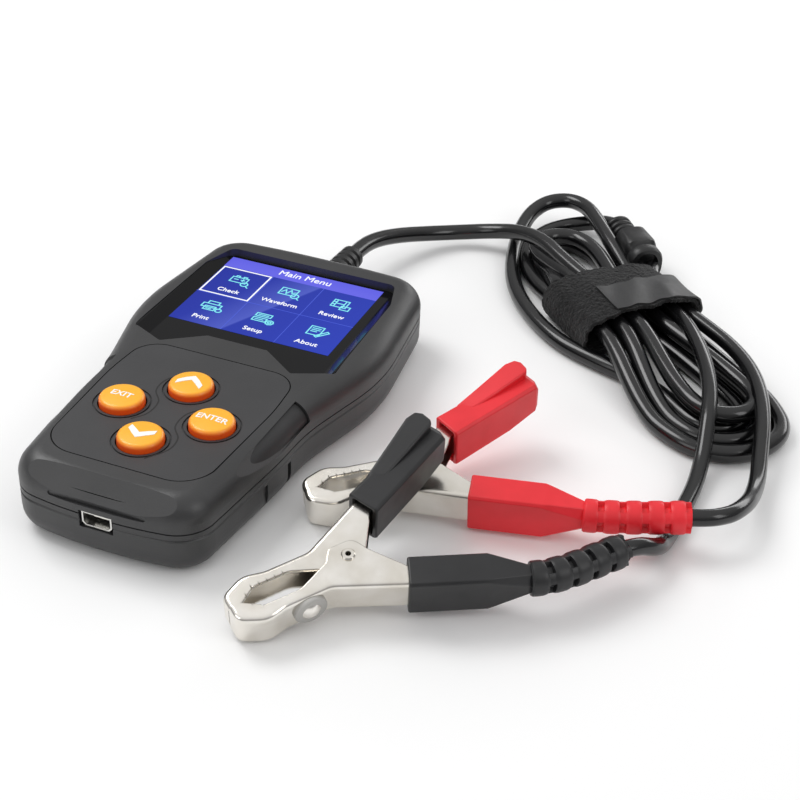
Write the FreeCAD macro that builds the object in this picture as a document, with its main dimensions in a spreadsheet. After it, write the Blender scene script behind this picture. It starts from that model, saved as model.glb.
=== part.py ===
# Hand-held battery tester: a two-shell handset with a display and four keys, and a
# corded pair of Kelvin battery clips whose cable lies in a strapped hank behind it.
# Frame: origin under the middle of the handset on the table, +Y to the cable end,
# +X to the right of the display, +Z up. Millimetres.
import FreeCAD, Part
import math
import os

Vector = FreeCAD.Vector
UP = Vector(0, 0, 1)
DEG = math.pi / 180

# ---------------------------------------------------------------- driving sizes

SIZES = {
    # handset case
    "case_length": 125.4, "head_width": 72.4, "waist_width": 55.8, "heel_width": 48.4,
    "part_line": 10.4, "face_height": 20.4, "case_wall": 2.0, "shell_floor": 2.0,
    "shoulder_radius": 6.0, "belly_radius": 6.0, "seam_chamfer": 0.35,
    "lip_height": 1.0, "lip_thickness": 1.0, "lip_gap": 0.1,
    "trim_line_rise": 1.7, "trim_line_width": 0.35, "trim_line_depth": 0.4,
    # display
    "lens_width": 57.0, "lens_top_y": 53.0, "lens_foot_y": -0.6, "lens_notch_width": 17.0,
    "lens_notch_rise": 7.4, "lens_sink": 2.3, "lens_thickness": 1.2, "lens_wing": 3.8,
    "lens_gap": 0.15, "view_width": 46.4, "view_height": 37.4, "view_y": 33.2,
    "ledge_thickness": 1.0, "module_width": 49.0, "module_height": 46.0,
    "module_thickness": 2.4, "gasket_thickness": 0.6,
    # keypad
    "keypad_width": 45.2, "keypad_top_y": -1.6, "keypad_foot_y": -53.0,
    "keypad_thickness": 1.6, "keypad_gap": 0.3, "keypad_ledge": 1.5,
    "key_radius": 5.6, "key_gap": 0.35, "key_rise": 2.4, "key_spread": 12.1,
    "key_centre_y": -29.6, "key_flange": 1.0, "key_flange_thickness": 1.2,
    "key_travel": 0.8, "key_ring_radius": 7.1, "key_ring_width": 0.5,
    # board and what it carries
    "board_thickness": 1.6, "board_height": 7.4, "board_head_width": 48.0,
    "board_tail_width": 33.0, "switch_side": 6.0, "switch_height": 3.4,
    "plunger_radius": 1.7, "plunger_rise": 1.4, "mat_thickness": 1.0,
    "usb_width": 7.7, "usb_height": 3.9, "usb_depth": 9.2, "usb_wall": 0.4,
    "buzzer_radius": 4.5, "buzzer_height": 3.8,
    # fastening
    "screw_radius": 1.2, "screw_head_radius": 2.0, "screw_head_height": 1.6,
    "boss_radius": 2.5, "head_screw_x": 27.3, "head_screw_y": 46.0,
    "tail_screw_x": 20.0, "tail_screw_y": -46.0, "counterbore": 2.4,
    # cable gland
    "gland_radius": 4.3, "gland_tip_radius": 3.5, "gland_length": 19.0,
    "gland_neck_radius": 3.4, "gland_flange_radius": 5.0, "gland_flange": 1.8,
    # cords
    "cable_radius": 2.4, "lead_radius": 2.1,
    # clips
    "clip_width": 9.0, "sheet_thickness": 0.8, "half_gap": 0.1, "jaw_reach": 28.6,
    "lever_angle": 24.6, "lever_start_x": 9.1, "lever_start_y": 10.4, "lever_depth": 5.0,
    "lever_in_boot": 19.0, "pivot_radius": 1.1, "pivot_bore": 0.65, "pivot_flange": 1.6,
    "pivot_clearance": 0.05, "jaw_gap": 0.15, "boot_depth": 8.0, "boot_height": 11.2,
    "boot_length": 28.0, "boot_fit": 0.1, "boot_taper": 8.0, "relief_radius": 4.0,
    "relief_length": 24.4, "washer_radius": 3.9,
    "washer_thickness": 1.0, "rivet_x": -12.3,
    # hank
    "hank_height": 14.0, "hank_half_width": 20.0, "hank_reach": 68.0,
    "strap_width": 24.0, "strap_thickness": 1.3,
}

doc = FreeCAD.newDocument("battery_tester")
sheet = doc.addObject("Spreadsheet::Sheet", "Sizes")
for row, (alias, value) in enumerate(SIZES.items(), start=1):
    sheet.set("A%d" % row, alias)
    sheet.set("B%d" % row, str(value))
    sheet.setAlias("B%d" % row, alias)
doc.recompute()


def size(alias):
    return float(sheet.get(alias))


# ---------------------------------------------------------------- outline helpers

# the part of a side that the blends at its two ends may use up between them
BLEND_ROOM = 0.98


def mirrored(right_half):
    """Close a right-hand list of (x, y, radius) corners, foot to top, about X = 0."""
    left_half = [(-x, y, radius) for x, y, radius in reversed(right_half)]
    return right_half + left_half


def turned_in(corners, inset):
    """Move every side of an anticlockwise outline inwards, and its radii with it."""
    count = len(corners)
    sides = []
    for i in range(count):
        x0, y0, _ = corners[i]
        x1, y1, _ = corners[(i + 1) % count]
        length = math.hypot(x1 - x0, y1 - y0)
        dx, dy = (x1 - x0) / length, (y1 - y0) / length
        sides.append((x0 - dy * inset, y0 + dx * inset, dx, dy))
    moved = []
    for i in range(count):
        ax, ay, adx, ady = sides[i - 1]
        bx, by, bdx, bdy = sides[i]
        cross = adx * bdy - ady * bdx
        along = ((bx - ax) * bdy - (by - ay) * bdx) / cross
        radius = corners[i][2] - inset if cross > 0 else corners[i][2] + inset
        moved.append((ax + adx * along, ay + ady * along, max(radius, 0.0)))
    return moved


def edges_of(corners):
    """Lines and tangent arcs of a closed outline of (x, y, radius) corners."""
    count = len(corners)
    arcs = []
    for i in range(count):
        x, y, radius = corners[i]
        px, py, _ = corners[i - 1]
        nx, ny, _ = corners[(i + 1) % count]
        here = Vector(x, y, 0)
        back = (Vector(px, py, 0) - here).normalize()
        ahead = (Vector(nx, ny, 0) - here).normalize()
        half = back.getAngle(ahead) / 2
        reach = radius / math.tan(half) if radius > 0 else 0.0
        start, end = here + back * reach, here + ahead * reach
        middle = None
        if reach > 1e-6:
            bisector = (back + ahead).normalize()
            middle = here + bisector * (radius / math.sin(half) - radius)
        arcs.append((start, middle, end))
    edges = []
    for i in range(count):
        start, middle, end = arcs[i]
        if middle is not None:
            edges.append(Part.Arc(start, middle, end))
        following = arcs[(i + 1) % count][0]
        if (following - end).Length > 1e-6:
            edges.append(Part.LineSegment(end, following))
    return edges


def circle(x, y, radius):
    return [Part.Circle(Vector(x, y, 0), UP, radius)]


def box_edges(x0, y0, x1, y1, radius=0.0):
    corners = [(x0, y0, radius), (x1, y0, radius), (x1, y1, radius), (x0, y1, radius)]
    return edges_of(corners)


def fitted(corners):
    """Shrink the blends at both ends of any side that is too short to hold them."""
    count = len(corners)
    sides = []
    for i in range(count):
        x0, y0, _ = corners[i]
        x1, y1, _ = corners[(i + 1) % count]
        sides.append(Vector(x1 - x0, y1 - y0, 0))
    reach = [abs(radius) * math.tan(sides[i - 1].getAngle(sides[i]) / 2)
             for i, (_, _, radius) in enumerate(corners)]
    share = [1.0] * count
    for i in range(count):
        following = (i + 1) % count
        room = BLEND_ROOM * sides[i].Length / max(reach[i] + reach[following], 1e-6)
        share[i] = min(share[i], room)
        share[following] = min(share[following], room)
    return [(x, y, radius * part) for (x, y, radius), part in zip(corners, share)]


def case_corners():
    """The handset's outline: a wide head, a narrower waist and a rounded heel."""
    end_y = size("case_length") / 2
    head = size("head_width") / 2
    waist = size("waist_width") / 2
    heel = size("heel_width") / 2
    return fitted(mirrored([
        (9.0, -end_y, 90.0),
        (heel, -end_y + 2.3, 9.5),
        (waist, -26.0, 120.0),
        (waist + 0.5, -12.0, 60.0),
        (head, 18.0, 60.0),
        (head - 4.5, end_y - 1.3, 11.0),
        (12.0, end_y, 150.0)]))


def lens_corners():
    half = size("lens_width") / 2
    top, foot = size("lens_top_y"), size("lens_foot_y")
    notch = size("lens_notch_width") / 2
    rise = size("lens_notch_rise")
    return mirrored([
        (notch, foot + rise, 1.0),
        (notch + 10.0, foot, 1.0),
        (half, foot + 4.8, 1.6),
        (half - 0.6, top - 10.5, 6.0),
        (half - 3.6, top, 2.5)])


def keypad_corners():
    half = size("keypad_width") / 2
    top, foot = size("keypad_top_y"), size("keypad_foot_y")
    return mirrored([
        (half - 1.9, foot, 9.0),
        (half, top - 16.0, 60.0),
        (half - 1.1, top, 7.5)])


def key_places():
    reach = size("key_spread")
    centre = size("key_centre_y")
    return {"key_exit": (-reach, centre), "key_up": (0.0, centre + reach),
            "key_enter": (reach, centre), "key_down": (0.0, centre - reach)}


def screw_places():
    head_x, head_y = size("head_screw_x"), size("head_screw_y")
    tail_x, tail_y = size("tail_screw_x"), size("tail_screw_y")
    return [(head_x, head_y), (-head_x, head_y), (tail_x, tail_y), (-tail_x, tail_y)]


# ---------------------------------------------------------------- feature helpers

def new_body(label):
    body = doc.addObject("PartDesign::Body", label)
    body.Label = label
    return body


def sketch_at(body, edges, height="0", role="XY_Plane"):
    """A sketch on one of the body's own origin planes, lifted by an expression."""
    sketch = body.newObject("Sketcher::SketchObject", "Sketch")
    plane = [item for item in body.Origin.OriginFeatures if item.Role == role][0]
    sketch.AttachmentSupport = [(plane, "")]
    sketch.MapMode = "FlatFace"
    sketch.setExpression("AttachmentOffset.Base.z", height)
    sketch.addGeometry(edges, False)
    sketch.Visibility = False
    return sketch


def pad(body, edges, height, length, role="XY_Plane", midplane=False, reverse=False):
    feature = body.newObject("PartDesign::Pad", "Pad")
    feature.Profile = sketch_at(body, edges, height, role)
    feature.setExpression("Length", length)
    feature.Midplane = midplane
    feature.Reversed = reverse
    doc.recompute()
    return feature


def pocket(body, edges, height, length, role="XY_Plane", midplane=False, upwards=False):
    """Cut down from the sketch, or up when asked, and prove that something was cut."""
    before = body.Shape.Volume
    feature = body.newObject("PartDesign::Pocket", "Pocket")
    feature.Profile = sketch_at(body, edges, height, role)
    feature.setExpression("Length", length)
    feature.Midplane = midplane
    feature.Reversed = upwards
    doc.recompute()
    if not feature.Shape.Volume < before - 1e-4:
        raise RuntimeError("%s: a pocket cut nothing" % body.Label)
    return feature


def edge_names(shape, chosen):
    return ["Edge%d" % (i + 1) for i, edge in enumerate(shape.Edges) if chosen(edge)]


def level_edge(height):
    def chosen(edge):
        return abs(edge.BoundBox.ZMin - height) < 1e-4 and abs(edge.BoundBox.ZMax - height) < 1e-4
    return chosen


def dress(body, kind, chosen, amount):
    """Fillet or chamfer the chosen edges of the body's last feature."""
    base = body.Tip
    feature = body.newObject("PartDesign::" + kind, kind)
    feature.Base = (base, edge_names(base.Shape, chosen))
    feature.setExpression("Radius" if kind == "Fillet" else "Size", amount)
    doc.recompute()
    return feature


def turned(body, points, role="XZ_Plane"):
    """Revolve a closed (radius, height) profile about the vertical sketch axis."""
    corners = [Vector(radius, height, 0) for radius, height in points]
    edges = []
    for i, corner in enumerate(corners):
        following = corners[(i + 1) % len(corners)]
        if (following - corner).Length > 1e-6:
            edges.append(Part.LineSegment(corner, following))
    feature = body.newObject("PartDesign::Revolution", "Revolution")
    sketch = sketch_at(body, edges, "0", role)
    feature.Profile = sketch
    feature.ReferenceAxis = (sketch, ["V_Axis"])
    feature.Angle = 360
    doc.recompute()
    return feature


def shape_feature(label, shape, placement=None):
    feature = doc.addObject("Part::Feature", label)
    feature.Label = label
    feature.Shape = shape
    if placement is not None:
        feature.Placement = placement
    return feature


# ---------------------------------------------------------------- handset shells

LEDGE_TOP = "Sizes.face_height - Sizes.lens_sink - Sizes.lens_thickness"
LEDGE_FOOT = LEDGE_TOP + " - Sizes.ledge_thickness"
PLATE_FOOT = "Sizes.face_height - Sizes.keypad_thickness"
KEY_CEILING = PLATE_FOOT + " - Sizes.keypad_ledge"
BOARD_TOP = "Sizes.board_height + Sizes.board_thickness"


def trim_groove(body, height):
    """A fine line cut right round the outside of a shell."""
    rings = edges_of(turned_in(case_corners(), -3.0))
    rings += edges_of(turned_in(case_corners(), size("trim_line_depth")))
    pocket(body, rings, height, "Sizes.trim_line_width", upwards=True)


def grip_section(inset, depth):
    """The tilted slot in the shoulder that takes a grip inlay, seen along Y."""
    waist = size("waist_width") / 2
    centre = Vector(waist - 1.3, size("face_height") - 3.0, 0)
    along = Vector(math.cos(-52 * DEG), math.sin(-52 * DEG), 0)
    outward = Vector(-along.y, along.x, 0)
    half = 3.1 - inset
    a = centre + along * half - outward * depth
    b = centre + along * half + outward * 3.0
    c = centre - along * half + outward * 3.0
    d = centre - along * half - outward * depth
    return [(p.x, p.y, 0.0) for p in (a, b, c, d)]


def flipped(corners):
    return [(-x, y, radius) for x, y, radius in reversed(corners)]


def front_shell():
    body = new_body("front_shell")
    case = case_corners()
    wall = size("case_wall")
    end_y = size("case_length") / 2
    pad(body, edges_of(case), "Sizes.part_line", "Sizes.face_height - Sizes.part_line")
    dress(body, "Fillet", level_edge(size("face_height")), "Sizes.shoulder_radius")
    dress(body, "Chamfer", level_edge(size("part_line")), "Sizes.seam_chamfer")
    # the heel of the face falls away towards the socket end
    slope = [(-end_y - 4, size("face_height") - 8.6, 0), (-end_y + 5.6, size("face_height"), 0),
             (-end_y + 5.6, size("face_height") + 6, 0), (-end_y - 4, size("face_height") + 6, 0)]
    pocket(body, edges_of(slope), "0", "2 * Sizes.head_width", "YZ_Plane", midplane=True)
    # cavity: shallow under the display, deeper under the keys
    cavity = edges_of(turned_in(case, wall))
    pocket(body, cavity, "Sizes.part_line", LEDGE_FOOT + " - Sizes.part_line", upwards=True)
    tail = [(x, min(y, size("keypad_top_y") + 0.6), radius)
            for x, y, radius in turned_in(case, wall) if y < 0]
    key_room = tail[:4] + [(tail[3][0] + 1.2, size("keypad_top_y") + 1.4, 0.0),
                           (-tail[3][0] - 1.2, size("keypad_top_y") + 1.4, 0.0)] + tail[4:]
    pocket(body, edges_of(key_room), LEDGE_FOOT, KEY_CEILING + " - (" + LEDGE_FOOT + ")",
           upwards=True)
    # display recess and window
    pocket(body, edges_of(lens_corners()), "Sizes.face_height",
           "Sizes.lens_sink + Sizes.lens_thickness")
    half_w, half_h, view_y = size("view_width") / 2, size("view_height") / 2, size("view_y")
    pocket(body, box_edges(-half_w, view_y - half_h, half_w, view_y + half_h, 0.6),
           LEDGE_TOP, "Sizes.ledge_thickness + 0.1")
    # keypad recess, with the ledge drilled for the keys
    pocket(body, edges_of(keypad_corners()), "Sizes.face_height", "Sizes.keypad_thickness")
    holes = []
    for x, y in key_places().values():
        holes += circle(x, y, size("key_radius") + size("key_gap"))
    pocket(body, holes, PLATE_FOOT, "Sizes.keypad_ledge + 0.1")
    # screw bosses down to the parting line
    head_bosses, tail_bosses, pilots = [], [], []
    for x, y in screw_places():
        bosses = head_bosses if y > 0 else tail_bosses
        bosses += circle(x, y, size("boss_radius"))
        pilots += circle(x, y, size("screw_radius"))
    pad(body, head_bosses, "Sizes.part_line + 0.1", LEDGE_FOOT + " - Sizes.part_line")
    pad(body, tail_bosses, "Sizes.part_line + 0.1", KEY_CEILING + " - Sizes.part_line")
    pocket(body, pilots, "Sizes.part_line", "4.0", upwards=True)
    # grip slots on both shoulders, parting trim line, and the socket end
    slot = grip_section(0.0, 0.9)
    pocket(body, edges_of(slot) + edges_of(flipped(slot)), "27.5", "33", "XZ_Plane", midplane=True)
    trim_groove(body, "Sizes.part_line + Sizes.trim_line_rise")
    socket_mouth(body, upwards=True)
    notch = box_edges(-12.5, 14.6, 12.5, 15.9, 0.6)
    pocket(body, notch, "Sizes.case_length / 2 + 1", "1.9", "XZ_Plane")
    gland_hole(body, True)
    return body


def socket_mouth(body, upwards):
    """Clear the end wall round the socket, in whichever shell this is."""
    half = size("usb_width") / 2 + 0.5
    end_y = size("case_length") / 2
    edges = box_edges(-half, -end_y - 1, half, -end_y + 3.2)
    level = size("board_height") + size("board_thickness") - 0.3
    if upwards:
        pocket(body, edges, "Sizes.part_line",
               BOARD_TOP + " + Sizes.usb_height + 0.3 - Sizes.part_line", upwards=True)
    else:
        pocket(body, edges, "Sizes.part_line + Sizes.lip_height",
               "Sizes.part_line + Sizes.lip_height - %g" % level)


def gland_hole(body, is_front):
    """Half of the round hole that the gland's neck sits in."""
    end_y = size("case_length") / 2
    radius = size("gland_neck_radius")
    level = size("part_line")
    sign = 1 if is_front else -1
    if is_front:
        arc = Part.Arc(Vector(radius, level, 0), Vector(0, level + radius, 0),
                       Vector(-radius, level, 0))
    else:
        arc = Part.Arc(Vector(-radius, level, 0), Vector(0, level - radius, 0),
                       Vector(radius, level, 0))
    below = level - sign * 1.4
    if is_front:
        lines = [(-radius, level), (-radius, below), (radius, below), (radius, level)]
    else:
        lines = [(radius, level), (radius, below), (-radius, below), (-radius, level)]
    edges = [arc]
    for (x0, z0), (x1, z1) in zip(lines, lines[1:]):
        edges.append(Part.LineSegment(Vector(x0, z0, 0), Vector(x1, z1, 0)))
    pocket(body, edges, "-Sizes.case_length / 2 + 5", "6", "XZ_Plane", upwards=False)


def rear_shell():
    body = new_body("rear_shell")
    case = case_corners()
    wall = size("case_wall") + size("lip_gap")
    end_y = size("case_length") / 2
    pad(body, edges_of(case), "0", "Sizes.part_line")
    dress(body, "Fillet", level_edge(0.0), "Sizes.belly_radius")
    dress(body, "Chamfer", level_edge(size("part_line")), "Sizes.seam_chamfer")
    pocket(body, edges_of(turned_in(case, wall)), "Sizes.part_line", "Sizes.part_line - 4.5")
    pocket(body, edges_of(turned_in(case, wall + 2.2)), "4.5", "4.5 - Sizes.shell_floor")
    # locating lip inside the front shell
    lip = edges_of(turned_in(case, wall))
    lip += edges_of(turned_in(case, wall + size("lip_thickness")))
    pad(body, lip, "Sizes.part_line - 1.5", "1.5 + Sizes.lip_height")
    # bosses, through holes and counterbores
    bosses, shafts, heads, posts = [], [], [], []
    for x, y in screw_places():
        bosses += circle(x, y, size("boss_radius"))
        shafts += circle(x, y, size("screw_radius") + 0.1)
        heads += circle(x, y, size("screw_head_radius") + 0.1)
    for x, y in board_posts():
        posts += circle(x, y, 2.0)
    pad(body, bosses, "Sizes.shell_floor - 0.2", "Sizes.part_line - Sizes.shell_floor + 0.2")
    pad(body, posts, "Sizes.shell_floor - 0.2", "Sizes.board_height - Sizes.shell_floor + 0.2")
    pocket(body, shafts, "Sizes.part_line + 1", "Sizes.part_line + 2")
    pocket(body, heads, "0", "Sizes.counterbore", upwards=True)
    socket_mouth(body, upwards=False)
    gland_hole(body, False)
    # room for the gland's flange behind the end wall
    seat = size("gland_flange_radius") + 0.3
    pocket(body, box_edges(-seat, end_y - 4.2, seat, end_y - wall),
           "Sizes.part_line + Sizes.lip_height", "Sizes.lip_height + Sizes.gland_flange_radius + 0.3")
    # grip notches down both sides, and a shallow panel for a label
    ticks = []
    for y in (-43.0, -32.0, -21.0):
        ticks += box_edges(size("waist_width") / 2 - 1.1, y - 0.8, 40, y + 0.8)
        ticks += box_edges(-40, y - 0.8, -size("waist_width") / 2 + 1.1, y + 0.8)
    pocket(body, ticks, "9.2", "7.0")
    pocket(body, box_edges(-20, -8, 20, 38, 3), "0", "0.4", upwards=True)
    return body


def board_posts():
    half = size("board_tail_width") / 2 - 3.0
    return [(half, -36.0), (-half, -36.0), (half + 5.0, 30.0), (-half - 5.0, 30.0)]


def rear_label():
    body = new_body("rear_label")
    pad(body, box_edges(-19.7, -7.7, 19.7, 37.7, 2.7), "0.15", "0.25")
    return body


def grip_inlay(label, side):
    body = new_body(label)
    section = grip_section(0.2, 0.9)
    waist_side = section if side > 0 else flipped(section)
    pad(body, edges_of(waist_side), "27.5", "32.4", "XZ_Plane", midplane=True)
    # trim to just under the shoulder by keeping what lies within the case
    keep = doc.addObject("Part::Feature", "grip_envelope_" + label)
    outline = Part.Wire([edge.toShape() for edge in edges_of(turned_in(case_corners(), 0.5))])
    block = Part.Face(outline).extrude(UP * (size("face_height") - 0.5))
    top = [edge for edge in block.Edges if level_edge(size("face_height") - 0.5)(edge)]
    keep.Shape = block.makeFillet(size("shoulder_radius") - 0.4, top)
    common = doc.addObject("Part::Common", label + "_piece")
    common.Base = body
    common.Tool = keep
    body.Label = label + "_blank"
    common.Label = label
    return common


# ---------------------------------------------------------------- display

def display_lens():
    """Flat window, with a raised wing down each side that meets the shell's rim."""
    body = new_body("display_lens")
    gap = size("lens_gap")
    pad(body, edges_of(turned_in(lens_corners(), gap)), LEDGE_TOP,
        "Sizes.lens_thickness + Sizes.lens_sink - 0.2")
    half = size("lens_width") / 2 - gap
    flat = half - size("lens_wing")
    level = size("face_height") - size("lens_sink")
    rim = size("face_height") + 0.3
    trough = [(-flat, level, 0), (flat, level, 0), (half + 0.2, rim, 0), (-half - 0.2, rim, 0)]
    pocket(body, edges_of(trough), "0", "3 * Sizes.case_length", "XZ_Plane", midplane=True)
    return body


def lcd_module():
    body = new_body("lcd_module")
    half_w, half_h, y = size("module_width") / 2, size("module_height") / 2, size("view_y")
    view_w, view_h = size("view_width") / 2 - 0.3, size("view_height") / 2 - 0.3
    base = LEDGE_FOOT + " - Sizes.gasket_thickness"
    pad(body, box_edges(-half_w, y - half_h, half_w, y + half_h, 1.0), base,
        "Sizes.module_thickness", reverse=True)
    pad(body, box_edges(-view_w, y - view_h, view_w, y + view_h, 0.3), base,
        "Sizes.gasket_thickness + Sizes.ledge_thickness - 0.1")
    return body


def display_gasket():
    body = new_body("display_gasket")
    half_w, half_h, y = size("module_width") / 2, size("module_height") / 2, size("view_y")
    view_w, view_h = size("view_width") / 2, size("view_height") / 2
    frame = box_edges(-half_w, y - half_h, half_w, y + half_h, 1.0)
    frame += box_edges(-view_w, y - view_h, view_w, y + view_h, 0.6)
    pad(body, frame, LEDGE_FOOT, "Sizes.gasket_thickness", reverse=True)
    return body


# ---------------------------------------------------------------- keypad

def keypad_plate():
    """The inlay round the keys, ring-grooved round each one."""
    body = new_body("keypad_plate")
    edges = edges_of(turned_in(keypad_corners(), size("keypad_gap")))
    rings = []
    for x, y in key_places().values():
        edges += circle(x, y, size("key_radius") + size("key_gap"))
        rings += circle(x, y, size("key_ring_radius"))
        rings += circle(x, y, size("key_ring_radius") - size("key_ring_width"))
    pad(body, edges, PLATE_FOOT, "Sizes.keypad_thickness")
    pocket(body, rings, "Sizes.face_height", "0.4")
    return body


def key(label, x, y):
    """A domed cap on a flange that the shell's ledge holds in."""
    body = new_body(label)
    ceiling = size("face_height") - size("keypad_thickness") - size("keypad_ledge")
    radius, flange = size("key_radius"), size("key_radius") + size("key_flange")
    top = size("face_height") + size("key_rise")
    foot = ceiling - 0.1 - size("key_flange_thickness")
    turned(body, [(0, foot), (flange, foot), (flange, ceiling - 0.1), (radius, ceiling - 0.1),
                  (radius, top - 0.9), (radius - 0.25, top - 0.4), (radius - 0.8, top - 0.12),
                  (radius - 2.6, top), (0, top)])
    body.setExpression("Placement.Base.x", "%s * Sizes.key_spread" % round(x / size("key_spread")))
    step = round((y - size("key_centre_y")) / size("key_spread"))
    body.setExpression("Placement.Base.y", "Sizes.key_centre_y + %d * Sizes.key_spread" % step)
    return body


def keypad_mat():
    """Silicone sheet that lies over the switches under the keys."""
    body = new_body("keypad_mat")
    spread, centre = size("key_spread"), size("key_centre_y")
    reach = spread + 5.0
    edges = box_edges(-reach, centre - reach, reach, centre + reach, 3)
    floor = BOARD_TOP + " + Sizes.switch_height + Sizes.plunger_rise"
    pad(body, edges, floor + " + 0.05", "Sizes.mat_thickness")
    return body


def key_switches():
    """One square tact switch under each key, as separate solids."""
    solids = []
    foot = size("board_height") + size("board_thickness")
    side, height = size("switch_side"), size("switch_height")
    for x, y in key_places().values():
        corner = Vector(x - side / 2, y - side / 2, foot)
        case = Part.makeBox(side, side, height, corner)
        plunger = Part.makeCylinder(size("plunger_radius"), size("plunger_rise") + 0.2,
                                    Vector(x, y, foot + height - 0.2))
        solids.append(case.fuse(plunger))
    return shape_feature("key_switches", Part.makeCompound(solids))


# ---------------------------------------------------------------- electronics

def main_board():
    body = new_body("main_board")
    head, tail = size("board_head_width") / 2, size("board_tail_width") / 2
    end_y = size("case_length") / 2
    corners = mirrored([(10.0, -end_y + 4.0, 1.0), (tail, -end_y + 9.0, 2.0), (tail, 6.0, 1.0),
                        (head, 14.0, 1.0), (head, end_y - 7.5, 2.0)])
    pad(body, edges_of(corners), "Sizes.board_height", "Sizes.board_thickness")
    return body


def usb_socket():
    """Sheet-metal mini socket with its contact tongue, flush with the end wall."""
    body = new_body("usb_socket")
    half, height, wall = size("usb_width") / 2, size("usb_height"), size("usb_wall")
    foot = size("board_height") + size("board_thickness")
    mouth = "Sizes.case_length / 2 - 0.5"
    shell = [(-half + 0.9, foot, 0), (half - 0.9, foot, 0), (half, foot + 0.9, 0),
             (half, foot + height, 0), (-half, foot + height, 0), (-half, foot + 0.9, 0)]
    pad(body, edges_of(shell), mouth, "Sizes.usb_depth", "XZ_Plane", reverse=True)
    pocket(body, edges_of(turned_in(shell, wall)), mouth, "Sizes.usb_depth - 1", "XZ_Plane")
    tongue = box_edges(-half + 1.9, foot + 1.5, half - 1.9, foot + 2.2)
    pad(body, tongue, mouth + " - 2", "Sizes.usb_depth - 2.5", "XZ_Plane", reverse=True)
    return body


def buzzer():
    body = new_body("buzzer")
    pad(body, circle(-11.5, 1.5, size("buzzer_radius")), BOARD_TOP, "Sizes.buzzer_height")
    pocket(body, circle(-11.5, 1.5, 1.0), BOARD_TOP + " + Sizes.buzzer_height", "1.0")
    return body


def board_parts():
    """The processor, the load transistors and their two capacitors."""
    top = size("board_height") + size("board_thickness")
    chip = Part.makeBox(10, 10, 1.4, Vector(4, -3, top))
    transistors = [Part.makeBox(6.6, 6.2, 2.3, Vector(x, 20, top)) for x in (-18, -9)]
    cans = [Part.makeCylinder(2.5, 3.2, Vector(x, 40, top)) for x in (-18.0, -11.5)]
    inductor = Part.makeBox(7, 7, 3.0, Vector(8, 22, top))
    return shape_feature("board_parts", Part.makeCompound([chip, inductor] + transistors + cans))


def wire_header():
    """Four-way header where the cable's cores meet the board."""
    body = new_body("wire_header")
    end_y = size("case_length") / 2
    foot = size("board_height") + size("board_thickness")
    pad(body, box_edges(-6, end_y - 14.5, 6, end_y - 9.5), BOARD_TOP, "3.2")
    ways = []
    for x in (-3.75, -1.25, 1.25, 3.75):
        ways += box_edges(x - 0.8, foot + 0.7, x + 0.8, foot + 2.5)
    pocket(body, ways, "-Sizes.case_length / 2 + 9.5", "3", "XZ_Plane", upwards=True)
    return body


def cable_cores():
    """Four insulated cores from the cable's end inside the case to the header."""
    end_y = size("case_length") / 2
    foot = size("board_height") + size("board_thickness") + 1.6
    solids = []
    for x in (-3.75, -1.25, 1.25, 3.75):
        start = Vector(x * 0.35, end_y - 4.2, size("part_line") + (0.75 if abs(x) < 2 else -0.75))
        end = Vector(x, end_y - 9.6, foot)
        line = end - start
        solids.append(Part.makeCylinder(0.6, line.Length, start, line))
    return shape_feature("cable_cores", Part.makeCompound(solids))


def case_screws():
    """Four self-tapping screws driven from the back, as separate solids."""
    solids = []
    foot = size("counterbore") - size("screw_head_height")
    for x, y in screw_places():
        head = Part.makeCylinder(size("screw_head_radius"), size("screw_head_height"),
                                 Vector(x, y, foot))
        slot = Part.makeBox(2.8, 0.7, 0.8, Vector(x - 1.4, y - 0.35, foot))
        cross = Part.makeBox(0.7, 2.8, 0.8, Vector(x - 0.35, y - 1.4, foot))
        shaft = Part.makeCylinder(size("screw_radius"), size("part_line") + 1.2,
                                  Vector(x, y, size("counterbore") - 0.1))
        solids.append(head.fuse(shaft).cut(slot).cut(cross))
    return shape_feature("case_screws", Part.makeCompound(solids))


# ---------------------------------------------------------------- cable gland

def cable_gland():
    """Ribbed rubber sleeve, held by a flange inside the end wall."""
    end_y = size("case_length") / 2
    wall = size("case_wall")
    neck, flange = size("gland_neck_radius"), size("gland_flange_radius")
    root, tip = size("gland_radius"), size("gland_tip_radius")
    length = size("gland_length")
    start = -wall - 0.1
    profile = [(0, start - size("gland_flange")), (flange, start - size("gland_flange")),
               (flange, start), (neck, start), (neck, 0.1), (root, 0.1)]
    ribs = 6
    pitch = length / ribs
    for i in range(ribs):
        near, far = 0.1 + pitch * i, 0.1 + pitch * (i + 1)
        radius = root + (tip - root) * (i + 0.5) / ribs
        profile += [(radius, near + 0.35), (radius, far - 1.15), (radius - 0.85, far - 0.85)]
        if i < ribs - 1:
            profile += [(radius - 0.85, far - 0.15)]
    profile += [(0, profile[-1][1])]
    body = new_body("cable_gland")
    turned(body, profile)
    body.Placement = FreeCAD.Placement(Vector(0, end_y, size("part_line")),
                                       FreeCAD.Rotation(Vector(1, 0, 0), -90))
    return body


# ---------------------------------------------------------------- cords

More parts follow.
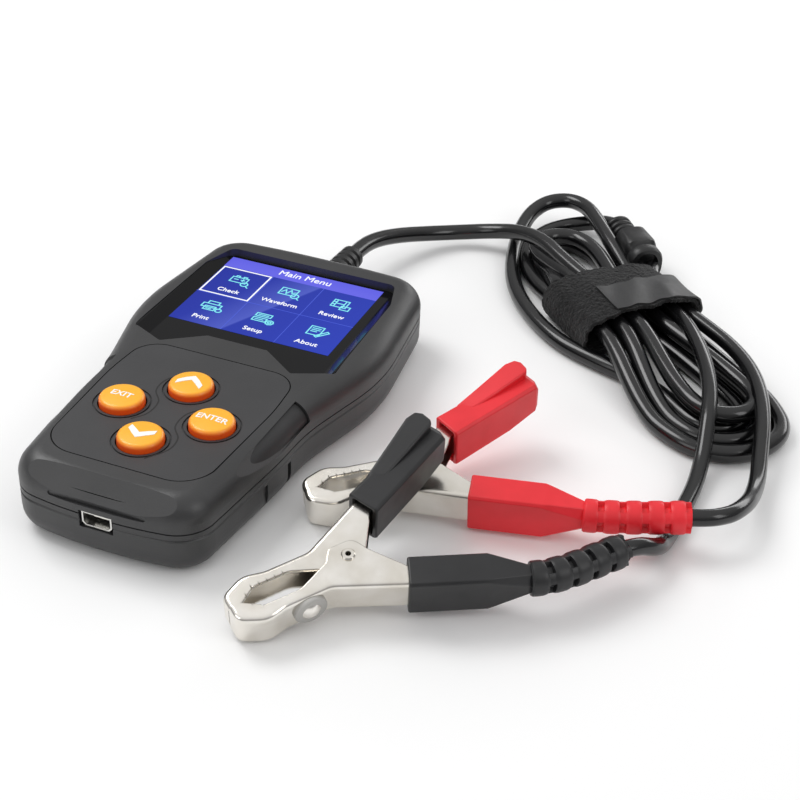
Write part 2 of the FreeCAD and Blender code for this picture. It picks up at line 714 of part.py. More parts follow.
def cord_path(points):
    """Straight runs joined by tangent arcs, each as large as its two runs allow."""
    corners = [Vector(*point) for point in points]
    edges, radii = [], []
    last = corners[0]
    for before, here, after in zip(corners, corners[1:], corners[2:]):
        back, ahead = before - here, after - here
        turn = math.pi - back.getAngle(ahead)
        shorter = min(back.Length, ahead.Length)
        radius = 0.45 * shorter / math.tan(turn / 2)
        back.normalize()
        ahead.normalize()
        start, end = here + back * (0.45 * shorter), here + ahead * (0.45 * shorter)
        bisector = (back + ahead).normalize()
        middle = here + bisector * (radius / math.cos(turn / 2) - radius)
        edges.append(Part.LineSegment(last, start).toShape())
        edges.append(Part.Arc(start, middle, end).toShape())
        radii.append(radius)
        last = end
    edges.append(Part.LineSegment(last, corners[-1]).toShape())
    return Part.Wire(edges), radii


def cord_tube(label, points, radius_alias, hank):
    """A tube along the route, ending against the hank's own face."""
    radius = size(radius_alias)
    path, radii = cord_path(points)
    first = Vector(*points[1]) - Vector(*points[0])
    section = Part.Wire(Part.makeCircle(radius, Vector(*points[0]), first))
    tube = path.makePipeShell([section], True, True)
    expected = math.pi * radius ** 2 * path.Length
    print("%s: length %.0f mm, tightest arc %.1f mm, volume ratio %.4f"
          % (label, path.Length, min(radii), tube.Volume / expected))
    print("  radii " + " ".join("%.0f" % value for value in radii))
    if abs(tube.Volume / expected - 1) > 0.01:
        raise RuntimeError("%s: the tube's volume is not its section times its length" % label)
    outside = tube.cut(hank)
    return shape_feature(label, max(outside.Solids, key=lambda solid: solid.Volume))


# ---------------------------------------------------------------- battery clips

# where each clip lies, and how far its strain relief bends sideways and droops
CLIPS = {
    "black": FreeCAD.Placement(Vector(57.0, -51.7, 9.8), FreeCAD.Rotation(50.7, -8.5, 13.9)),
    "red": FreeCAD.Placement(Vector(58.6, -11.6, 7.9), FreeCAD.Rotation(36.1, -5.75, 9.4)),
}
RELIEF_BENDS = {"black": (22.0, 9.0), "red": (6.0, -1.5)}


def lever_frame():
    """Where a lever leaves the clip, its direction, and outwards across it."""
    angle = size("lever_angle") * DEG
    start = Vector(size("lever_start_x"), size("lever_start_y"), 0)
    along = Vector(math.cos(angle), math.sin(angle), 0)
    outward = Vector(-along.y, along.x, 0)
    return start, along, outward


def half_corners(skin):
    """Plan of the moving half; skin draws in the outer line and opens the inner one."""
    start, along, outward = lever_frame()
    outer, inner = 2.8 - skin, -2.2 - 3 * skin
    reach = size("lever_in_boot") + 3 * skin
    tip = -size("jaw_reach") + skin
    lever_end_in = start + along * reach + outward * inner
    lever_end_out = start + along * reach + outward * outer
    shoulder = start + along * -1.0 + outward * outer
    throat = start + outward * inner
    return [
        (throat.x, throat.y - skin, 1.0),
        (lever_end_in.x, lever_end_in.y, 0.0), (lever_end_out.x, lever_end_out.y, 0.0),
        (shoulder.x, shoulder.y, 4.0),
        (-7.0, 5.7 - skin, 5.0), (-17.6, 5.7 - skin, 5.0), (-22.6, 6.9 - skin, 6.0),
        (tip, 3.9 - skin, 3.0 - skin), (tip, size("jaw_gap") - 4 * skin, 0.0),
        (-25.6, size("jaw_gap") - 4 * skin, 0.0), (-21.5, 2.9 - 4 * skin, 1.5),
        (-13.0, 2.9 - 4 * skin, 4.0), (-5.2, -0.6 - 4 * skin, 1.0),
        (-3.2, -3.6 - 4 * skin, 2.0), (2.8, -3.6 - 4 * skin, 2.6), (4.6, 0.4 - skin, 2.0)]


def teeth_edges():
    """Triangles cut in the jaw's meeting edges, as a saw-tooth."""
    edges = []
    for i in range(6):
        x = -24.6 + 1.9 * i
        base = 0.9 if i < 1 else 2.3
        edges += edges_of([(x, base - 2.6, 0), (x + 1.5, base - 2.6, 0), (x + 0.75, base + 1.4, 0)])
    return edges


def clip_half(label, side, width):
    """A stamped channel: an outer web and two flanges that reach in to the pivot."""
    body = new_body(label)
    outline = half_corners(0.0)
    hollow = half_corners(size("sheet_thickness"))
    teeth = teeth_edges()
    if side < 0:
        outline = [(x, -y, radius) for x, y, radius in reversed(outline)]
        hollow = [(x, -y, radius) for x, y, radius in reversed(hollow)]
        flip = FreeCAD.Matrix()
        flip.A22 = -1
        for edge in teeth:
            edge.transform(flip)
    pad(body, edges_of(outline), "0", width, midplane=True)
    rolled(body, rim_edges(side, body.Shape), "0.4 * Sizes.sheet_thickness")
    rolled(body, web_fold_edges(side, body.Shape), "1.5 * Sizes.sheet_thickness")
    pocket(body, edges_of(hollow), "0", width + " - 2 * Sizes.sheet_thickness", midplane=True)
    pocket(body, teeth, "0", "2 * Sizes.clip_width", midplane=True)
    bore = size("pivot_radius") + (size("pivot_clearance") if side > 0 else 0.0)
    pocket(body, circle(0, 0, bore), "0", "2 * Sizes.clip_width", midplane=True)
    return body


def rolled(body, names, radius):
    """Fillet the named edges of the body's last feature."""
    base = body.Tip
    fold = body.newObject("PartDesign::Fillet", "Fillet")
    fold.Base = (base, names)
    fold.setExpression("Radius", radius)
    doc.recompute()


def rim_edges(side, shape):
    """The free rims of both flanges, from the throat of the lever round the pivot."""
    names = []
    for i, edge in enumerate(shape.Edges):
        box = edge.BoundBox
        if box.ZMax - box.ZMin > 0.1:
            continue
        middle = edge.valueAt((edge.FirstParameter + edge.LastParameter) / 2)
        if middle.y * side < 4.6 and -6.5 < middle.x < 9.0:
            names.append("Edge%d" % (i + 1))
    return names


def web_fold_edges(side, shape):
    """The long outer edges of the web, from the lever's end round to the jaw's tip."""
    names = []
    for i, edge in enumerate(shape.Edges):
        box = edge.BoundBox
        if box.ZMax - box.ZMin > 0.1:
            continue
        middle = edge.valueAt((edge.FirstParameter + edge.LastParameter) / 2)
        y = middle.y * side
        if y > 4.6 and middle.x < 8.3:
            names.append("Edge%d" % (i + 1))
    return names


def clip_pivot(label):
    """Hollow rivet through both halves, rolled over at each end."""
    body = new_body(label)
    bore, shank, lip = size("pivot_bore"), size("pivot_radius"), size("pivot_flange")
    half = size("clip_width") / 2
    turned(body, [(bore, -half - 0.5), (lip - 0.3, -half - 0.5), (lip, -half - 0.2), (lip, -half),
                  (shank, -half), (shank, half), (lip, half), (lip, half + 0.2),
                  (lip - 0.3, half + 0.5), (bore, half + 0.5)])
    return body


def clip_spring(label):
    """Torsion spring round the rivet, its legs pressing the two levers apart."""
    coil_radius, wire = 2.3, 0.35
    turns, pitch = 4, 0.85
    helix = Part.makeHelix(pitch, pitch * turns, coil_radius)
    helix.translate(Vector(0, 0, -pitch * turns / 2))
    start = Vector(coil_radius, 0, -pitch * turns / 2)
    section = Part.Wire(Part.makeCircle(wire, start, Vector(0, 1, 0)))
    coil = Part.Wire(helix).makePipeShell([section], True, True)
    leg_low = Part.makeCylinder(wire, 7.5, start + Vector(0, 0.2, 0), Vector(0.75, -1, 0))
    finish = Vector(coil_radius, 0, pitch * turns / 2)
    leg_high = Part.makeCylinder(wire, 7.5, finish - Vector(0, 0.2, 0), Vector(0.75, 1, 0))
    return shape_feature(label, coil.fuse(leg_low).fuse(leg_high))


def boot_section(depth, height, corner):
    half_d, half_h = depth / 2, height / 2
    return [(-half_d, -half_h, corner), (half_d, -half_h, corner), (half_d, half_h, corner),
            (-half_d, half_h, corner)]


def boot_shape(side, relief_bend, width):
    """Square-shouldered sleeve on a lever; the cable's one ends in a slotted relief."""
    length, taper = size("boot_length"), size("boot_taper")
    deep, high = size("boot_depth"), size("boot_height")

    def section(at, depth, height, corner):
        wire = Part.Wire([e.toShape() for e in edges_of(boot_section(depth, height, corner))])
        wire.rotate(Vector(0, 0, 0), Vector(0, 1, 0), 90)
        wire.rotate(Vector(0, 0, 0), Vector(1, 0, 0), 90)
        wire.translate(Vector(at, 0, 0))
        return wire

    straight = length - taper
    block = Part.makeLoft([section(0, deep, high, 0.7), section(straight, deep, high, 0.7)], True, True)
    end_deep, end_high = (deep * 0.8, high * 0.72)
    if relief_bend:
        end_deep, end_high = (deep * 0.72, high * 0.62)
    nose = Part.makeLoft([section(straight, deep, high, 0.7),
                          section(length, end_deep, end_high, 0.7)], True, True)
    boot = block.fuse(nose)
    fit = size("boot_fit")
    inside = size("lever_in_boot") + 1.0
    low = -2.2 if side > 0 else -2.8
    cavity = Part.makeBox(inside, size("lever_depth") + 2 * fit, width + 2 * fit,
                          Vector(-0.5, low - fit, -width / 2 - fit))
    boot = boot.cut(cavity)
    if relief_bend:
        boot = boot.fuse(relief_shape(relief_bend))
    return boot.removeSplitter()


def relief_shape(relief_bend):
    """Rings on a core that bends off towards the cable, with a slot in each gap."""
    rings, pitch = 5, size("relief_length") / 5
    outer, core = size("relief_radius"), size("lead_radius") + 0.9
    points = [(0, -4.0), (core, -4.0)]
    for i in range(rings):
        near = pitch * i
        points += [(core, near + 1.2), (outer - 0.25, near + 1.2), (outer, near + 1.5),
                   (outer, near + pitch - 0.3), (outer - 0.25, near + pitch)]
        if i < rings - 1:
            points += [(core, near + pitch)]
    points += [(0, size("relief_length"))]
    wire = Part.makePolygon([Vector(radius, 0, at) for radius, at in points + points[:1]])
    relief = Part.Face(wire).revolve(Vector(0, 0, 0), UP, 360)
    tongue = Part.makeBox(2 * outer - 0.8, 1.6, size("relief_length") - 1.0,
                          Vector(-outer + 0.4, -0.8, 0.0))
    relief = relief.fuse(tongue)
    relief.rotate(Vector(0, 0, 0), Vector(0, 1, 0), 90)
    relief.Placement = relief_place(relief_bend).multiply(relief.Placement)
    return relief


def relief_place(relief_bend):
    """The strain relief's root on the boot's nose, with its sideways bend and droop."""
    sideways, droop = relief_bend
    turn = FreeCAD.Rotation(sideways, droop, 0)
    return FreeCAD.Placement(Vector(size("boot_length") - 0.4, 0, 0), turn)


def lever_placement(side):
    start, along, outward = lever_frame()
    angle = size("lever_angle") * side
    return FreeCAD.Placement(Vector(start.x, start.y * side, 0), FreeCAD.Rotation(UP, angle))


def clip_boot(label, side, relief_bend, width):
    shape = boot_shape(side, relief_bend, width)
    shape.Placement = lever_placement(side)
    return shape_feature(label, Part.makeCompound([shape]).Solids[0])


def sense_washer(label):
    """Insulating washer under the sense contact, on the flat of the fixed jaw's web."""
    washer = Part.makeCylinder(size("washer_radius"), size("washer_thickness"),
                               Vector(size("rivet_x"), -5.7, 0), Vector(0, -1, 0))
    rim = [e for e in washer.Edges if e.BoundBox.YMin < -5.75 and e.BoundBox.YMax < -5.75]
    return shape_feature(label, washer.makeFillet(0.4, rim))


def sense_rivet(label):
    """Round head of the sense contact, standing on the washer."""
    radius = 2.2
    foot = -5.7 - size("washer_thickness")
    ball = Part.makeSphere(3.2, Vector(size("rivet_x"), foot + 2.3, 0))
    slab = Part.makeCylinder(radius, 0.9, Vector(size("rivet_x"), foot, 0), Vector(0, -1, 0))
    return shape_feature(label, slab.common(ball))


def crimp(label):
    """Barrel that grips the lead's end inside the cable boot."""
    outer = Part.makeCylinder(1.9, 4.6, Vector(size("lever_in_boot") - 5.5, 0, 0), Vector(1, 0, 0))
    inner = Part.makeCylinder(1.3, 4.6, Vector(size("lever_in_boot") - 5.5, 0, 0), Vector(1, 0, 0))
    barrel = outer.cut(inner)
    barrel.Placement = lever_placement(-1)
    return shape_feature(label, barrel)


def battery_clip(colour):
    fixed_width = "Sizes.clip_width"
    moving_width = "Sizes.clip_width - 2 * Sizes.sheet_thickness - 2 * Sizes.half_gap"
    narrow = size("clip_width") - 2 * size("sheet_thickness") - 2 * size("half_gap")
    pieces = [
        clip_half(colour + "_fixed_jaw", -1, fixed_width),
        clip_half(colour + "_moving_jaw", 1, moving_width),
        clip_pivot(colour + "_pivot"),
        clip_spring(colour + "_spring"),
        clip_boot(colour + "_cable_boot", -1, RELIEF_BENDS[colour], size("clip_width")),
        clip_boot(colour + "_lever_boot", 1, None, narrow),
        sense_washer(colour + "_sense_washer"),
        sense_rivet(colour + "_sense_rivet"),
        crimp(colour + "_crimp")]
    for piece in pieces:
        piece.Placement = CLIPS[colour].multiply(piece.Placement)
    return pieces


def lead_exit(colour):
    """Point and direction where the lead leaves its strain relief."""
    place = CLIPS[colour].multiply(lever_placement(-1)).multiply(relief_place(RELIEF_BENDS[colour]))
    direction = place.Rotation.multVec(Vector(1, 0, 0))
    return place.Base + direction * size("relief_length"), direction


# ---------------------------------------------------------------- hank, strap, splitter

HANK = FreeCAD.Placement(Vector(80, 93, 0), FreeCAD.Rotation(UP, -45))


def hank_corners():
    """Outline of the wound cable along and across the hank: one long blunt lobe, and a
    shorter, skewed one that leaves room for the splitter beside it."""
    reach, half = size("hank_reach"), size("hank_half_width")
    return [(-44.0, -13.0, 10.0), (-28.0, -half - 1.0, 12.0), (30.0, -half - 0.5, 40.0),
            (reach + 3, -half + 7.0, 14.0), (reach + 3, half - 4.5, 12.0),
            (10.0, half - 2.0, 30.0), (-14.0, half - 5.5, 10.0), (-50.0, half - 6.5, 8.0),
            (-59.0, half - 1.0, 5.0), (1.0 - reach, half - 4.0, 5.0), (-55.0, -4.0, 14.0)]


def strap_ring(outer):
    """Section across the hank of the strap's outside or inside line."""
    skin = size("strap_thickness")
    half = size("hank_half_width") - 0.4
    inset = 0.0 if outer else skin
    return [(-half + inset, inset, 4.0 - inset), (half - inset, inset, 4.0 - inset),
            (half - inset, size("hank_height") - inset, 5.5 - inset),
            (-half + inset, size("hank_height") - inset, 5.5 - inset)]


def cable_strap():
    """Hook-and-loop strap closed round the middle of the hank."""
    body = new_body("cable_strap")
    edges = edges_of(strap_ring(True)) + edges_of(strap_ring(False))
    pad(body, edges, "0", "Sizes.strap_width", "YZ_Plane", midplane=True)
    body.Placement = HANK
    return body


def cable_hank():
    """Outer shape of the wound cable, waisted where the strap holds it."""
    body = new_body("cable_hank")
    pad(body, edges_of(hank_corners()), "0", "Sizes.hank_height - Sizes.strap_thickness")
    top = size("hank_height") - size("strap_thickness")
    dress(body, "Fillet", level_edge(top), "4.0")
    far = size("hank_height") + 20
    side = size("hank_half_width") + 20
    ring = edges_of([(-side, -20, 0), (side, -20, 0), (side, far, 0), (-side, far, 0)])
    ring += edges_of(strap_ring(False))
    pocket(body, ring, "0", "Sizes.strap_width", "YZ_Plane", midplane=True)
    body.Placement = HANK
    return body


def y_splitter():
    """Moulded body where the cable parts into two leads: ribs, barrel and collar."""
    body = new_body("y_splitter")
    points = [(0, 0), (3.2, 0)]
    for i in range(3):
        near = 1.2 + 2.6 * i
        points += [(3.2, near), (4.2, near + 0.3), (4.2, near + 1.4), (3.2, near + 1.7)]
    points += [(3.2, 9.4), (5.4, 10.4), (5.4, 20.5), (6.0, 21.3), (6.0, 25.6), (5.4, 26.4), (0, 26.4)]
    turned(body, points)
    body.Placement = splitter_place()
    return body


def splitter_place():
    tilt = FreeCAD.Rotation(Vector(0, 0, 1), Vector(15.2, -21.2, -0.4))
    return FreeCAD.Placement(Vector(65.2, 142.6, 7.2), tilt)


def cords(cable_hank_shape):
    """The cable and its two leads, each stopping where it enters the hank."""
    gland_tip = size("case_length") / 2 + size("gland_length") - 0.75
    main = [(0.0, gland_tip, size("part_line")), (0.0, 88.0, size("part_line")),
            (1.8, 96.5, 9.6), (6.0, 106.0, 7.6), (12.0, 115.0, 5.2), (20.0, 122.0, 3.4),
            (29.5, 125.2, 2.9), (40.0, 124.0, 4.4)]
    exits = {colour: lead_exit(colour) for colour in CLIPS}
    point, way = exits["black"]
    black = [tuple(point), tuple(point + way * 5.0), (117.0, -11.8, 6.3), (117.5, -4.4, 2.4),
             (118.1, 3.6, 2.2), (118.5, 12.5, 2.2), (118.8, 22.0, 2.4), (118.2, 31.5, 4.0),
             (115.5, 42.0, 7.6)]
    point, way = exits["red"]
    first = point + way * 3.8
    red = [tuple(point), tuple(first)]
    for heading in (38.0, 58.0):
        turn = Vector(math.cos(heading * DEG), math.sin(heading * DEG), 0)
        first = first + turn * 3.8
        red.append(tuple(first))
    red += [(133.0, 12.4, 7.6), (133.1, 21.0, 5.6), (132.4, 30.5, 4.2), (129.4, 43.0, 5.4)]
    return [cord_tube("main_cable", main, "cable_radius", cable_hank_shape),
            cord_tube("black_lead", black, "lead_radius", cable_hank_shape),
            cord_tube("red_lead", red, "lead_radius", cable_hank_shape)]


# ---------------------------------------------------------------- assembly

def build():
    parts = [front_shell(), rear_shell(), rear_label(),
             grip_inlay("grip_inlay_left", -1), grip_inlay("grip_inlay_right", 1),
             display_lens(), lcd_module(), display_gasket(), keypad_plate()]
    for label, (x, y) in key_places().items():
        parts.append(key(label, x, y))
    parts += [keypad_mat(), key_switches(), main_board(), usb_socket(), buzzer(), board_parts(),
              wire_header(), cable_cores(), case_screws(), cable_gland()]
    for colour in CLIPS:
        parts += battery_clip(colour)
    parts += [cable_hank(), cable_strap(), y_splitter()]

    parts += cords(cable_hank_shape=parts[-3].Shape)
    doc.recompute()
    return parts


def check_and_write(parts):
    for item in doc.Objects:
        if "Invalid" in item.State or "Error" in item.State:
            raise RuntimeError("%s (%s) failed" % (item.Name, item.Label))
    os.makedirs("parts", exist_ok=True)
    for part in parts:
        shape = part.Shape
        if shape.isNull() or not shape.isValid() or not shape.Solids:
            raise RuntimeError("%s has no valid solid" % part.Label)
        shape.exportStep("parts/%s.step" % part.Label)
    print("%d parts written" % len(parts))


check_and_write(build())
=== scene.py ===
# Battery tester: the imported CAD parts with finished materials, and Blender pieces for
# the cable and its hank, the strap, splitter, clip boots, key caps and the lit display.
import math

import bmesh
import bpy
from mathutils import Matrix, Vector
from mathutils.geometry import interpolate_bezier


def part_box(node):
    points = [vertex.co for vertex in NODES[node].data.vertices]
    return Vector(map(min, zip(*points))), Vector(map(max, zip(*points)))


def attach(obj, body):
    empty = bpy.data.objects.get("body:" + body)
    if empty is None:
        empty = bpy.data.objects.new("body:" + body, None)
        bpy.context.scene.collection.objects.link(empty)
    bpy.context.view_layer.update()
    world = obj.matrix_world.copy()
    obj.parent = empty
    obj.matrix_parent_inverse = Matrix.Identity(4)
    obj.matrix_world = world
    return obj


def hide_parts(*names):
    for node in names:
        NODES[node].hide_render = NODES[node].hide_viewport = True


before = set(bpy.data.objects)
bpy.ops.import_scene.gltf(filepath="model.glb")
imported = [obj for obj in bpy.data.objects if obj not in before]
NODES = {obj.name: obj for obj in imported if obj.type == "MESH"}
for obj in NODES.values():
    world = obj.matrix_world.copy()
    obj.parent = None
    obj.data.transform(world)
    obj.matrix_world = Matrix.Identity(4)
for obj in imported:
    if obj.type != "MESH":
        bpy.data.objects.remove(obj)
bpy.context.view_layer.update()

MM = 0.001
UP = Vector((0, 0, 1))


def link(thing):
    bpy.context.scene.collection.objects.link(thing)


# ------------ camera, light, floor

VIEW_POINT = Vector((0.15592, -0.28719, 0.21982))
VIEW_HEADING = math.radians(110.04)
VIEW_DROP = math.radians(34.66)
VIEW_ROLL = math.radians(3.04)


def add_camera():
    data = bpy.data.cameras.new("camera")
    data.sensor_width = 36.0
    data.lens = 67.5
    data.shift_x = -0.0131
    data.shift_y = 0.0545
    level = math.cos(VIEW_DROP)
    forward = Vector((level * math.cos(VIEW_HEADING), level * math.sin(VIEW_HEADING),
                      -math.sin(VIEW_DROP)))
    flat_right = forward.cross(UP).normalized()
    flat_up = flat_right.cross(forward)
    right = flat_right * math.cos(VIEW_ROLL) + flat_up * math.sin(VIEW_ROLL)
    turn = Matrix((right, right.cross(forward), -forward)).transposed()
    camera = bpy.data.objects.new("camera", data)
    camera.matrix_world = Matrix.Translation(VIEW_POINT) @ turn.to_4x4()
    link(camera)
    bpy.context.scene.camera = camera


def add_area_light(name, place, aim, width, height, power, color=(1, 1, 1)):
    data = bpy.data.lights.new(name, "AREA")
    data.shape = "RECTANGLE"
    data.size, data.size_y = width, height
    data.energy = power
    data.color = color
    lamp = bpy.data.objects.new(name, data)
    lamp.location = place
    lamp.rotation_euler = (Vector(aim) - Vector(place)).to_track_quat("-Z", "Y").to_euler()
    link(lamp)


def add_lights():
    """A key soft box high on the left, a strip behind, fills in front and on the right."""
    middle = (0.05, 0.03, 0.0)
    add_area_light("key_box", (-0.50, 0.12, 0.72), middle, 0.45, 0.45, 3.4)
    add_area_light("strip_back", (0.30, 0.80, 0.28), middle, 0.7, 0.18, 1.3)
    add_area_light("fill_front", (-0.35, -0.65, 0.45), middle, 0.5, 0.4, 1.0)
    add_area_light("fill_right", (0.70, -0.10, 0.45), middle, 0.3, 0.4, 0.9)
    world = bpy.data.worlds.new("studio")
    bpy.context.scene.world = world
    world.use_nodes = True
    nodes, links = world.node_tree.nodes, world.node_tree.links
    coords = nodes.new("ShaderNodeTexCoord")
    split = nodes.new("ShaderNodeSeparateXYZ")
    ramp = nodes.new("ShaderNodeValToRGB")
    stops = ramp.color_ramp.elements
    stops[0].position, stops[0].color = 0.0, (0.34, 0.34, 0.35, 1)
    stops[1].position, stops[1].color = 0.95, (1.0, 1.0, 1.0, 1)
    for position, grey in ((0.42, 0.42), (0.74, 0.86)):
        stops.new(position).color = (grey, grey, grey, 1)
    links.new(coords.outputs["Generated"], split.inputs[0])
    links.new(split.outputs["Z"], ramp.inputs["Fac"])
    links.new(ramp.outputs["Color"], nodes["Background"].inputs["Color"])
    nodes["Background"].inputs["Strength"].default_value = 0.85


def add_floor():
    mesh = bpy.data.meshes.new("floor")
    reach = 4.0
    corners = [(-reach, -reach, 0), (reach, -reach, 0), (reach, reach, 0), (-reach, reach, 0)]
    mesh.from_pydata(corners, [], [(0, 1, 2, 3)])
    floor = bpy.data.objects.new("floor", mesh)
    link(floor)
    mesh.materials.append(plain("floor_paper", (0.93, 0.93, 0.93), 0.55))


# ------------ materials

def plain(name, color, roughness, metallic=0.0, coat=0.0, specular=0.5):
    """A Principled material whose uniform values sit on the shader's own sockets."""
    material = bpy.data.materials.new(name)
    material.use_nodes = True
    shader = material.node_tree.nodes["Principled BSDF"]
    shader.inputs["Base Color"].default_value = (*color, 1)
    shader.inputs["Roughness"].default_value = roughness
    shader.inputs["Metallic"].default_value = metallic
    shader.inputs["Coat Weight"].default_value = coat
    shader.inputs["Coat Roughness"].default_value = 0.06
    shader.inputs["Specular IOR Level"].default_value = specular
    return material


def noise(material, size, detail=3.0, stretch=(1, 1, 1)):
    """A 3-D noise in the object's own coordinates, with features of a size in mm."""
    nodes, links = material.node_tree.nodes, material.node_tree.links
    coords = nodes.new("ShaderNodeTexCoord")
    mapping = nodes.new("ShaderNodeMapping")
    mapping.inputs["Scale"].default_value = stretch
    texture = nodes.new("ShaderNodeTexNoise")
    texture.inputs["Scale"].default_value = 1 / (size * MM)
    texture.inputs["Detail"].default_value = detail
    links.new(coords.outputs["Object"], mapping.inputs["Vector"])
    links.new(mapping.outputs["Vector"], texture.inputs["Vector"])
    return texture.outputs["Fac"]


def ramp(material, source, stops):
    """Colours for a source's values, from (position, colour) stops."""
    nodes, links = material.node_tree.nodes, material.node_tree.links
    node = nodes.new("ShaderNodeValToRGB")
    elements = node.color_ramp.elements
    while len(elements) < len(stops):
        elements.new(0.5)
    for element, (position, color) in zip(elements, stops):
        element.position = position
        element.color = (*color, 1)
    links.new(source, node.inputs["Fac"])
    return node.outputs["Color"]


def shader_of(material):
    return material.node_tree.nodes["Principled BSDF"]


def tint(material, source, stops):
    material.node_tree.links.new(ramp(material, source, stops),
                                 shader_of(material).inputs["Base Color"])


def vary_gloss(material, source, low, high):
    nodes, links = material.node_tree.nodes, material.node_tree.links
    spread = nodes.new("ShaderNodeMapRange")
    spread.inputs["To Min"].default_value = low
    spread.inputs["To Max"].default_value = high
    links.new(source, spread.inputs["Value"])
    links.new(spread.outputs["Result"], shader_of(material).inputs["Roughness"])


def bump(material, layers):
    """Stack (source, strength, depth in mm) bumps, coarse to fine."""
    nodes, links = material.node_tree.nodes, material.node_tree.links
    previous = None
    for source, strength, depth in layers:
        node = nodes.new("ShaderNodeBump")
        node.inputs["Strength"].default_value = strength
        node.inputs["Distance"].default_value = depth * MM
        links.new(source, node.inputs["Height"])
        if previous is not None:
            links.new(previous, node.inputs["Normal"])
        previous = node.outputs["Normal"]
    links.new(previous, shader_of(material).inputs["Normal"])


def moulded(name, color, roughness, grain_mm=0.35, depth=0.05, spread=0.12):
    """Moulded plastic: a fine spark-eroded grain and slight unevenness of colour."""
    material = plain(name, color, roughness)
    dark = tuple(c * (1 - spread) for c in color)
    light = tuple(min(1, c * (1 + spread)) for c in color)
    tint(material, noise(material, 14), [(0.35, dark), (0.65, light)])
    vary_gloss(material, noise(material, 9), roughness - 0.05, roughness + 0.07)
    bump(material, [(noise(material, grain_mm, 2.0), 0.45, depth)])
    return material


def case_plastic():
    material = moulded("case_plastic", (0.026, 0.026, 0.027), 0.40, 0.42, 0.06, 0.10)
    shader_of(material).inputs["Specular IOR Level"].default_value = 0.6
    return material


def keypad_plastic():
    return moulded("keypad_plastic", (0.033, 0.033, 0.035), 0.46, 0.5, 0.05, 0.08)


def glossy_lens():
    material = plain("lens_acrylic", (0.003, 0.003, 0.0035), 0.12, specular=0.22)
    vary_gloss(material, noise(material, 20), 0.10, 0.16)
    bump(material, [(noise(material, 25), 0.05, 0.05)])
    return material


def key_plastic():
    """Amber crown over a redder skirt, tinted by the tilt of each face: a painted top light on the
    crown and painted shade down the side.
    """
    material = plain("key_plastic", (0.95, 0.35, 0.03), 0.36, coat=0.15)
    nodes, links = material.node_tree.nodes, material.node_tree.links
    geometry = nodes.new("ShaderNodeNewGeometry")
    split = nodes.new("ShaderNodeSeparateXYZ")
    links.new(geometry.outputs["Normal"], split.inputs[0])
    # painted light and shade: the colour follows the normal's height, paler on faces that look up
    # and redder on the steeper sides
    tint(material, split.outputs["Z"], [(0.05, (0.95, 0.10, 0.006)), (0.6, (1.0, 0.27, 0.010)),
                                        (0.97, (1.0, 0.46, 0.020))])
    shader_of(material).inputs["Subsurface Weight"].default_value = 0.08
    shader_of(material).inputs["Subsurface Radius"].default_value = (0.002, 0.0008, 0.0003)
    bump(material, [(noise(material, 0.5, 2.0), 0.25, 0.03)])
    return material


def print_ink():
    material = plain("legend_ink", (0.93, 0.93, 0.91), 0.5)
    bump(material, [(noise(material, 0.3), 0.2, 0.02)])
    return material


def soft_pvc(name, color, light):
    """Flexible PVC: satin, with faint flow marks and slightly paler patches."""
    material = plain(name, color, 0.4)
    tint(material, noise(material, 10), [(0.3, color), (0.75, light)])
    vary_gloss(material, noise(material, 4, 4.0), 0.33, 0.50)
    bump(material, [(noise(material, 2.5), 0.15, 0.06),
                    (noise(material, 0.3, 2.0), 0.25, 0.03)])
    return material


def cable_jacket():
    material = plain("cable_jacket", (0.004, 0.004, 0.0045), 0.2, coat=0.2)
    vary_gloss(material, noise(material, 6), 0.14, 0.26)
    bump(material, [(noise(material, 3.5), 0.2, 0.08),
                    (noise(material, 0.5), 0.12, 0.02)])
    return material


def moulded_rubber():
    material = plain("moulded_rubber", (0.007, 0.007, 0.0075), 0.38)
    vary_gloss(material, noise(material, 3), 0.3, 0.48)
    bump(material, [(noise(material, 0.35, 2.0), 0.3, 0.03)])
    return material


def nickel():
    """Nickel plate over stamped steel: bright, with drawn lines and faint haze."""
    material = plain("nickel_plate", (0.80, 0.77, 0.71), 0.2, metallic=1.0)
    tint(material, noise(material, 7), [(0.3, (0.74, 0.70, 0.63)),
                                                    (0.7, (0.86, 0.83, 0.78))])
    vary_gloss(material, noise(material, 5, 5.0), 0.13, 0.3)
    bump(material, [(noise(material, 3.0), 0.12, 0.06),
                    (noise(material, 0.6, 3.0, (1, 0.12, 1)), 0.10, 0.02)])
    return material


def metal(name, color, roughness):
    material = plain(name, color, roughness, metallic=1.0)
    vary_gloss(material, noise(material, 1.5), roughness - 0.06, roughness + 0.1)
    bump(material, [(noise(material, 0.4), 0.15, 0.02)])
    return material


def strap_pile():
    """Looped pile of a hook-and-loop strap."""
    material = plain("strap_pile", (0.012, 0.012, 0.013), 0.9, specular=0.25)
    shader_of(material).inputs["Sheen Weight"].default_value = 0.15
    shader_of(material).inputs["Sheen Roughness"].default_value = 0.45
    tint(material, noise(material, 0.7, 5.0), [(0.35, (0.002, 0.002, 0.002)),
                                                         (0.7, (0.022, 0.022, 0.023))])
    bump(material, [(noise(material, 0.9, 5.0), 1.0, 0.5),
                    (noise(material, 0.25, 3.0), 0.8, 0.2)])
    return material


def strap_smooth():
    material = plain("strap_smooth", (0.026, 0.026, 0.027), 0.42)
    vary_gloss(material, noise(material, 2.5, 4.0), 0.35, 0.55)
    bump(material, [(noise(material, 0.5, 2.0, (1, 0.25, 1)), 0.35, 0.08)])
    return material


# ------------ mesh helpers

def add_object(name, data, body, material):
    piece = bpy.data.objects.new(name, data)
    link(piece)
    data.materials.append(material)
    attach(piece, body)
    return piece


